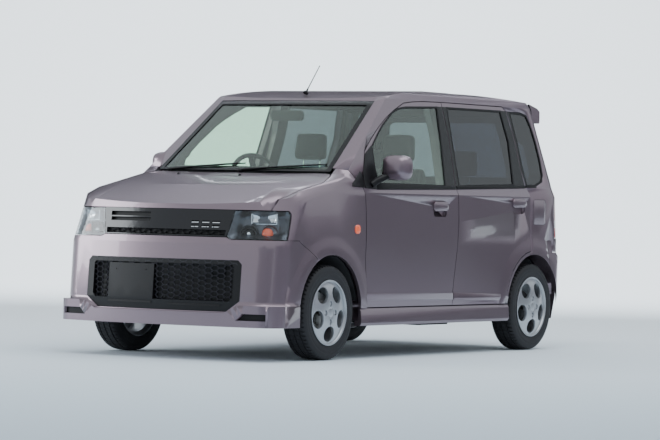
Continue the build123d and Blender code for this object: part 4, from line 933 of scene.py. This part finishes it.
# the two slots are flat black strips laid on the bumper's face: painted shade standing in for open slots
for name, line, low, high in (
        ("board_slot_painted_shade", [(-348, 303), (-44, 303), (-44, 315), (-348, 315)], -0.5, 0.6),
        ("cell_slot_painted_shade", [(70, 298), (400, 298), (400, 309), (70, 309)], -0.5, 0.6),
        ("cell_backing", [(-468, 328), (468, 328), (468, 525), (-468, 525)], -34.0, -30.0)):
    put(nose_plate(name, line, low, high), name, "body", identity, seal_rubber)
bumper_skin = surface_of("front_bumper")


def lip_liner():
    """A black strip inside the lip, behind its slot."""
    low, high, thick, behind = 0.218, 0.268, 0.004, 0.022
    bm = bmesh.new()
    rows = []
    for i in range(13):
        y = 0.495 + 0.205 * i / 12
        face = bumper_skin.ray_cast(Vector((3, y, 0.206)), Vector((-1, 0, 0)))[0].x - behind
        rows.append([bm.verts.new(point) for point in (
            (face, y, low), (face, y, high), (face - thick, y, high), (face - thick, y, low))])
    capped_skin(bm, rows)
    return finished(bm, "lip_liner")


both(lip_liner(), "lip_liner", "body", seal_rubber)


# ---------------------------------------------------------------- Tail lamps
# Red acrylic lenses on the rear corners with a clear reversing band, ribbed inside.
def tail_lens():
    material, tree = new_material("red_acrylic_tail_lens")
    coords = add_node(tree, "ShaderNodeTexCoord")
    apart = add_node(tree, "ShaderNodeSeparateXYZ", {0: (coords, "Object")})
    band = add_node(tree, "ShaderNodeMath", {0: (apart, 2), 1: 0.775, 2: 0.022}, operation="COMPARE")
    rib = ribs(tree, 50.0)
    # the ribs alternate dark and bright red: painted highlights along the ribs
    red = mixed(tree, rib, srgb("#8f0d10"), srgb("#c3191c"))
    surfaced(tree, {
        "Base Color": mixed(tree, (band, 0), red, srgb("#d9dde0")), "Roughness": 0.1, "Coat Weight": 1.0,
        "Normal": raised(tree, rib, 0.3, 0.001)})
    return material


rounded_copy("tail_lamps", tail_lens())


# ---------------------------------------------------------------- Windscreen band, cowl and washers
# A black band fired on to the windscreen's rim hides its glue. Below it lies a moulded black
# cowl with air slits, and two washer nozzles stand on the hood.
screen_rake = 1.355


def on_screen(y, z, out):
    """A point of the windscreen's outer face, in metres, and out in front of it, square to the glass."""
    foot = 0.932 - 0.064 * (y / 0.602) ** 2
    return Vector((foot - screen_rake * (z - 1.038) + out * math.hypot(1, screen_rake), y, z))


def screen_half(z):
    return 0.590 - 0.060 * (z - 1.052) / 0.421


def band_loop(low, high, side):
    """Points (across, height) round the windscreen, at this distance inside its sides."""
    rise = high - low
    loop = [(-1 + i / 12, low) for i in range(25)] + [(1, low + rise * i / 12) for i in range(1, 12)]
    loop += [(1 - i / 12, high) for i in range(25)] + [(-1, high - rise * i / 12) for i in range(1, 12)]
    return [(share * (screen_half(z) - side), z) for share, z in loop]


def screen_band():
    """A ring 28 mm wide at the sides, 20 at the foot and 40 at the head, 0.5 mm proud of the glass."""
    bm = bmesh.new()
    low, high = 1.0535, 1.4715
    loops = [band_loop(low, high, 0.0015), band_loop(low + 0.012, high - 0.024, 0.030)]
    shells = [[[bm.verts.new(on_screen(y, z, out)) for y, z in loop] for loop in loops]
              for out in (0.00005, 0.0005)]
    for shell in shells:
        skin_from(bm, shell, True)
    for loop in (0, 1):
        skin_from(bm, [shells[0][loop], shells[1][loop]], True)
    return finished(bm, "screen_band")


def nozzle_mesh():
    return turned_mesh("washer_nozzle", [
        (0.0, 8.0), (4.5, 7.4), (8.5, 5.0), (10.5, 1.0), (11.0, -3.0), (0.0, -3.0)], 24, False)


put(screen_band(), "screen_band", "body", identity, pillar_film)
rounded_copy("cowl_panel", grained_black)
hood_skin = surface_of("hood")
upright = Matrix.Rotation(math.radians(90), 4, "X")
narrow = Matrix.Scale(0.8, 4, (0, 0, 1))
for k, (x, y) in enumerate(((0.985, -0.358), (1.012, 0.084))):
    top = hood_skin.ray_cast(Vector((x, y, 2)), Vector((0, 0, -1)))[0]
    place = Matrix.Translation(top) @ upright @ narrow
    put(nozzle_mesh(), f"washer_nozzle_{k}", "hood", place, grained_black)


# ---------------------------------------------------------------- Wipers
# Pressed steel arms in satin black with a hinge cover at the pivot, each with a rubber blade
# under one long bowed yoke.
def strap(name, points, sizes, up):
    """A bar of changing width and height along points, all in metres; up is where its top looks."""
    bm = bmesh.new()
    rows = []
    for k, point in enumerate(points):
        ahead = (points[min(k + 1, len(points) - 1)] - points[max(k - 1, 0)]).normalized()
        side = ahead.cross(up).normalized()
        top = side.cross(ahead)
        wide, tall = sizes[k]
        corners = [(-1, -1), (1, -1), (1, 0.4), (0.6, 1), (-0.6, 1), (-1, 0.4)]
        rows.append([bm.verts.new(point + side * a * wide / 2 + top * b * tall / 2) for a, b in corners])
    capped_skin(bm, rows)
    return finished(bm, name, 30)


arm_black = moulded("satin_black_coated_steel", "#0f0f11", "#17171a", 0.32, 400.0, 0.0001)
screen_out = Vector((1.0, 0, screen_rake)).normalized()
proud = 1 / 1.684  # turns a gap along X into one square to the glass
pivot_profile = [(0.0, 9.0), (7.0, 8.0), (10.5, 5.0), (11.5, 0.0), (11.5, -10.0), (0.0, -10.0)]
pivot_cover = turned_mesh("pivot_cover", pivot_profile, 32, False)
for hand, pivot_y in (("right", -0.500), ("left", 0.020)):
    foot = on_screen(pivot_y, 1.054, 0.0055 * proud)
    reach = [on_screen(pivot_y + 0.5 * share, 1.056 + 0.040 * share, 0.0035 * proud) + screen_out * 0.004
             for share in (0.0, 0.12, 0.25, 0.4, 0.5)]
    arm_sizes = [(0.016, 0.009), (0.015, 0.009), (0.011, 0.006), (0.009, 0.005), (0.007, 0.004)]
    arm = strap("wiper_arm", reach, arm_sizes, screen_out)
    along = [0.08 + 0.44 * i / 12 for i in range(13)]
    blade_line = [on_screen(pivot_y + far, 1.0585 + 0.0704 * far, 0.0024 * proud) for far in along]
    blade_sizes = [(0.006 + 0.002 * math.sin(math.pi * i / 12), 0.005) for i in range(13)]
    blade = strap("wiper_blade", blade_line, blade_sizes, screen_out)
    yoke_sizes = [(0.007 + 0.003 * math.sin(math.pi * i / 10), 0.0045) for i in range(11)]
    yoke = strap("wiper_yoke", [p + screen_out * 0.003 for p in blade_line[1:12]], yoke_sizes, screen_out)
    turn = screen_out.to_track_quat("Y", "Z").to_matrix().to_4x4()
    put(arm, f"wiper_arm_{hand}", "body", identity, arm_black, ["wipers"] if hand == "left" else ())
    put(blade, f"wiper_blade_{hand}", "body", identity, seal_rubber)
    put(yoke, f"wiper_yoke_{hand}", "body", identity, arm_black)
    put(pivot_cover, f"wiper_pivot_{hand}", "body", Matrix.Translation(foot) @ turn, arm_black)


# ---------------------------------------------------------------- Antenna
# A flexible black whip on a small rubber foot at the middle of the roof's leading edge.
mast_foot, mast_tip = Vector((0.2065, 0, 1.5215)), Vector((0.0570, 0, 1.6905))
mast_way = (mast_tip - mast_foot).normalized()
mast_place = Matrix.Translation(mast_foot) @ mast_way.to_track_quat("Y", "Z").to_matrix().to_4x4()
mast = turned_mesh("antenna_whip", [
    (0.0, 0.0), (16.0, 0.0), (15.0, 5.0), (10.0, 11.0), (6.5, 16.0), (5.5, 22.0), (5.0, 34.0), (3.4, 40.0),
    (3.2, 60.0), (2.6, 216.0), (3.4, 218.0), (3.6, 221.5), (2.4, 224.0), (0.0, 224.6)], 24, False)
put(mast, "antenna_whip", "body", mast_place, seal_rubber, ["antenna"])


# ---------------------------------------------------------------- Door mirrors
# Painted moulded shells on black arms, with a chromed flat glass set into the back.
def soft_square(steps, power):
    """Points (across, up) of a square with full round corners, from -1 to 1."""
    turns = [2 * math.pi * i / steps for i in range(steps)]
    return [(math.copysign(abs(math.cos(a)) ** power, math.cos(a)),
             math.copysign(abs(math.sin(a)) ** power, math.sin(a))) for a in turns]


def mirror_loft(name, sections, angle, power):
    """A closed form round the left mirror's middle from sections of x, half width and half height."""
    bm = bmesh.new()
    rings = [[bm.verts.new((x, 0.800 + half_y * c, 1.087 + half_z * s)) for c, s in soft_square(48, power)]
             for x, half_y, half_z in sections]
    capped_skin(bm, rings)
    return finished(bm, name, angle)


mirror_arm = strap("mirror_arm", [Vector((0.590, 0.700, 0.985)), Vector((0.560, 0.722, 1.012)),
                                  Vector((0.525, 0.745, 1.030)), Vector((0.495, 0.760, 1.046))],
                   [(0.050, 0.036), (0.050, 0.034), (0.052, 0.034), (0.046, 0.030)], Vector((0, 0, 1)))
mirror_shell = mirror_loft("mirror_shell", [
    (0.4440, 0.0790, 0.0600), (0.4415, 0.0830, 0.0640), (0.4425, 0.0870, 0.0690), (0.4560, 0.0895, 0.0720),
    (0.4800, 0.0890, 0.0715), (0.5010, 0.0840, 0.0670), (0.5150, 0.0750, 0.0590), (0.5250, 0.0600, 0.0460),
    (0.5300, 0.0400, 0.0300), (0.5315, 0.0180, 0.0140)], 45, 1 / 1.8)
mirror_face = mirror_loft("mirror_face", [(0.4452, 0.0775, 0.0585), (0.4436, 0.0775, 0.0585)], 30, 0.556)
for hand, place in (("left", identity), ("right", mirrored)):
    carrier = f"front_door_{hand}"
    put(bevelled(mirror_arm, 0.006, 3), f"mirror_arm_{hand}", carrier, place, grained_black)
    put(mirror_shell, f"mirror_shell_{hand}", carrier, place, body_paint, [f"door_mirror_{hand}"])
    put(mirror_face, f"mirror_face_{hand}", carrier, place, chrome)


# ---------------------------------------------------------------- Dashboard and controls
# A grained charcoal dashboard with a hooded dial box, a foam-rimmed steering wheel on the right
# and a grained black mirror on the windscreen.
charcoal = moulded("charcoal_grained_plastic", "#232227", "#2e2d33", 0.6, 700.0, 0.0004)
rim_foam = moulded("black_wheel_rim_foam", "#19191c", "#222226", 0.5, 500.0, 0.0002)
rounded_copy("dashboard", charcoal)
rounded_copy("steering_wheel", rim_foam)
rounded_copy("cabin_mirror", grained_black)


def dial_hood():
    middle_y, foot_z = -0.330, 0.978
    bm = bmesh.new()
    rows = []
    for x, wide, tall in (
            (0.480, 0.150, 0.050), (0.500, 0.160, 0.062), (0.560, 0.150, 0.058), (0.640, 0.110, 0.030)):
        row = []
        for i in range(17):
            a = math.pi * i / 16
            row.append(bm.verts.new((x, middle_y + wide * math.cos(a), foot_z + tall * math.sin(a))))
        rows.append(row)
    capped_skin(bm, rows)
    return finished(bm, "dial_hood")


put(dial_hood(), "dial_hood", "body", identity, charcoal)


# ---------------------------------------------------------------- Seats
# Foam pads in dark woven cloth over steel frames: each front seat has a cushion, a back with side
# bolsters and a separate headrest on two posts; the rear bench has one wide cushion and back.
def pad_form(name, start, stop, half_low, half_high, thick, bolster):
    """A foam block between two (x, z) points, thicker at its sides by bolster; half widths at both ends."""
    bm = bmesh.new()
    start, stop = Vector((start[0], 0, start[1])), Vector((stop[0], 0, stop[1]))
    along = (stop - start).normalized()
    face = Vector((along.z, 0, -along.x))
    rings = []
    steps = 24
    for k in range(steps + 1):
        share = k / steps
        end = (1 - abs(2 * share - 1) ** 6) ** (1 / 3) if 0 < k < steps else 0.25
        half = (half_low + (half_high - half_low) * share) * (0.86 + 0.14 * end)
        middle = start.lerp(stop, share)
        ring = []
        for c, s in soft_square(40, 0.5):
            lift = thick / 2 * (0.35 + 0.65 * end) * s
            if lift > 0:
                lift += bolster * end * abs(c) ** 5
            ring.append(bm.verts.new(middle + face * lift + Vector((0, half * c, 0))))
        rings.append(ring)
    capped_skin(bm, rings)
    return finished(bm, name)


def blown_up(pad):
    """The pad's mesh after its cover is inflated by cloth simulation."""
    cloth = pad.modifiers.new("cover", "CLOTH")
    cloth.settings.use_pressure = True
    cloth.settings.uniform_pressure_force = 4.0
    cloth.settings.effector_weights.gravity = 0.0
    cloth.settings.tension_stiffness = 15.0
    cloth.settings.mass = 0.3
    cloth.settings.quality = 5
    for number in range(1, 21):
        bpy.context.scene.frame_set(number)
    result = applied(pad)
    pad.modifiers.clear()
    bpy.context.scene.frame_set(1)
    return result


def filled_pad(name, place, voxel, limit, seams):
    """A pad from its form's sizes, each point blown out limit at most; seams are places across it."""
    pad = linked(name, pad_form(name, *place))
    remesh = pad.modifiers.new("even", "REMESH")
    remesh.mode = "VOXEL"
    remesh.voxel_size = voxel
    even = applied(pad)
    pad.modifiers.clear()
    pad.data = even
    rest = [v.co.copy() for v in even.vertices]
    even = blown_up(pad)
    pad.data = even
    for vert, home in zip(even.vertices, rest):
        move = vert.co - home
        if move.length > limit:
            vert.co = home + move.normalized() * limit
    smooth = pad.modifiers.new("smooth", "SUBSURF")
    smooth.levels = smooth.render_levels = 1
    done = applied(pad)
    bpy.data.objects.remove(pad)
    seam_deep, seam_half = 0.004, 0.007
    normals = [v.normal.copy() for v in done.vertices]
    for vert, normal in zip(done.vertices, normals):
        near = min(abs(abs(vert.co.y) - seam) for seam in seams)
        vert.co -= normal * seam_deep * math.exp(-(near / seam_half) ** 2)
    done.name = name
    done.shade_smooth()
    return done


def seat_cloth():
    """Woven polyester: warp and weft at 1.6 mm with paler flecks and a soft sheen."""
    material, tree = new_material("charcoal_woven_seat_cloth")
    warp, weft = [ribs(tree, 200.0, way, 0.6) for way in "YZ"]
    cross = add_node(tree, "ShaderNodeMath", {0: warp, 1: weft}, operation="MULTIPLY")
    tone = mixed(tree, noise(tree, 140.0, 3.0), srgb("#1d1d21"), srgb("#37373d"))
    surfaced(tree, {
        "Base Color": tone, "Roughness": 0.9, "Sheen Weight": 0.3,
        "Normal": raised(tree, (cross, 0), 0.5, 0.0006)})
    return material


cloth_cover = seat_cloth()
pad_sizes = {
    # foot (x, z), head (x, z), half widths there, thickness and bolster; then voxel, limit and seams
    "front_cushion": (((-0.300, 0.437), (0.155, 0.452), 0.222, 0.215, 0.088, 0.022), 0.012, 0.010, [0.145]),
    "front_back": (((-0.222, 0.470), (-0.372, 1.098), 0.222, 0.186, 0.086, 0.028), 0.012, 0.010, [0.140]),
    "headrest": (((-0.346, 1.140), (-0.362, 1.290), 0.108, 0.098, 0.078, 0.0), 0.008, 0.008, [0.3]),
    "rear_cushion": (((-0.955, 0.437), (-0.565, 0.440), 0.520, 0.520, 0.090, 0.01), 0.014, 0.01, [0.0, 0.26]),
    "rear_back": (((-0.992, 0.470), (-1.088, 1.020), 0.520, 0.500, 0.082, 0.010), 0.014, 0.010, [0.0, 0.26]),
    "rear_rest": (((-1.100, 1.062), (-1.116, 1.212), 0.110, 0.100, 0.060, 0.0), 0.008, 0.008, [0.3])}
made = {name: filled_pad(name, *sizes) for name, sizes in pad_sizes.items()}
post = turned_mesh("headrest_post", [
    (0.0, -30.0), (5.0, -30.0), (5.0, 46.0), (4.0, 48.0), (0.0, 48.0)], 20, False)
for hand, sign in (("left", 1), ("right", -1)):
    aside = Matrix.Translation((0, sign * 0.310, 0))
    for form, name, stands_for in (
            ("front_cushion", "front_cushion", [f"front_seat_{hand}"]), ("front_back", "front_back", ()),
            ("headrest", "front_headrest", ()), ("rear_rest", "rear_headrest", ())):
        put(made[form], f"{name}_{hand}", "body", aside, cloth_cover, stands_for)
    for k, (x, z) in enumerate(((-0.366, 1.105), (-1.108, 1.022))):
        for side in (-0.06, 0.06):
            stand = Matrix.Translation((x, sign * 0.310 + side, z)) @ upright
            put(post, f"headrest_post_{hand}_{k}_{'in' if side * sign < 0 else 'out'}", "body", stand, chrome)
put(made["rear_cushion"], "rear_bench_cushion", "body", identity, cloth_cover, ["rear_seat"])
put(made["rear_back"], "rear_bench_back", "body", identity, cloth_cover)
rounded_copy("seat_bases", charcoal)


# ---------------------------------------------------------------- Running gear and underside
# Coated pressed steel, cast iron and rolled exhaust tube, all dull and dusty, with a ventilated
# brake disc behind each front rim and a drum behind each rear one.
def dusty_metal(name, dark, light, metallic, rough, grain=30.0):
    """Metal under a film of road dust."""
    surface = {"Metallic": metallic, "Roughness": rough}
    return grained(name, (dark, light), (grain, 5.0), surface, (0.25, 0.0006), (grain * 20, 2.0))


underseal = dusty_metal("black_underseal_on_steel", "#131316", "#1d1c1f", 0.0, 0.75)
cast_iron = dusty_metal("bare_cast_iron", "#4a4543", "#6a625c", 1.0, 0.55)
exhaust_steel = dusty_metal("aluminised_exhaust_steel", "#77736c", "#969188", 1.0, 0.42)
turned_iron = dusty_metal("turned_brake_iron", "#84827f", "#a5a3a0", 1.0, 0.3, 200.0)
gear_black = dusty_metal("black_coated_suspension_steel", "#161618", "#232226", 0.2, 0.5)
fin_alloy = dusty_metal("bare_aluminium_fins", "#5c5e62", "#7b7d82", 1.0, 0.45, 200.0)
for worn_name, finish in (("underbody", underseal), ("fuel_tank", underseal), ("engine", cast_iron),
                          ("exhaust", exhaust_steel), ("front_suspension", gear_black),
                          ("rear_axle", gear_black), ("knuckle_left", cast_iron),
                          ("knuckle_right", cast_iron), ("radiator", fin_alloy)):
    rounded_copy(worn_name, finish, 30.0)
disc = turned_mesh("brake_disc", [
    (22.0, 12.0), (70.0, 12.0), (72.0, -2.0), (74.0, -4.0), (112.0, -4.0), (113.0, -5.0), (113.0, -15.0),
    (112.0, -16.0), (74.0, -16.0), (66.0, -12.0), (64.0, 6.0), (22.0, 6.0)], 64)
drum = turned_mesh("brake_drum", [
    (22.0, 12.0), (88.0, 12.0), (94.0, 9.0), (96.0, 2.0), (100.0, 0.0), (100.0, -34.0), (94.0, -34.0),
    (92.0, 3.0), (22.0, 4.0)], 64)
for (end, hand), place in wheel_places.items():
    put(disc if end == "front" else drum, f"brake_{end}_{hand}", f"{end}_wheel_{hand}",
        place, turned_iron if end == "front" else gear_black)
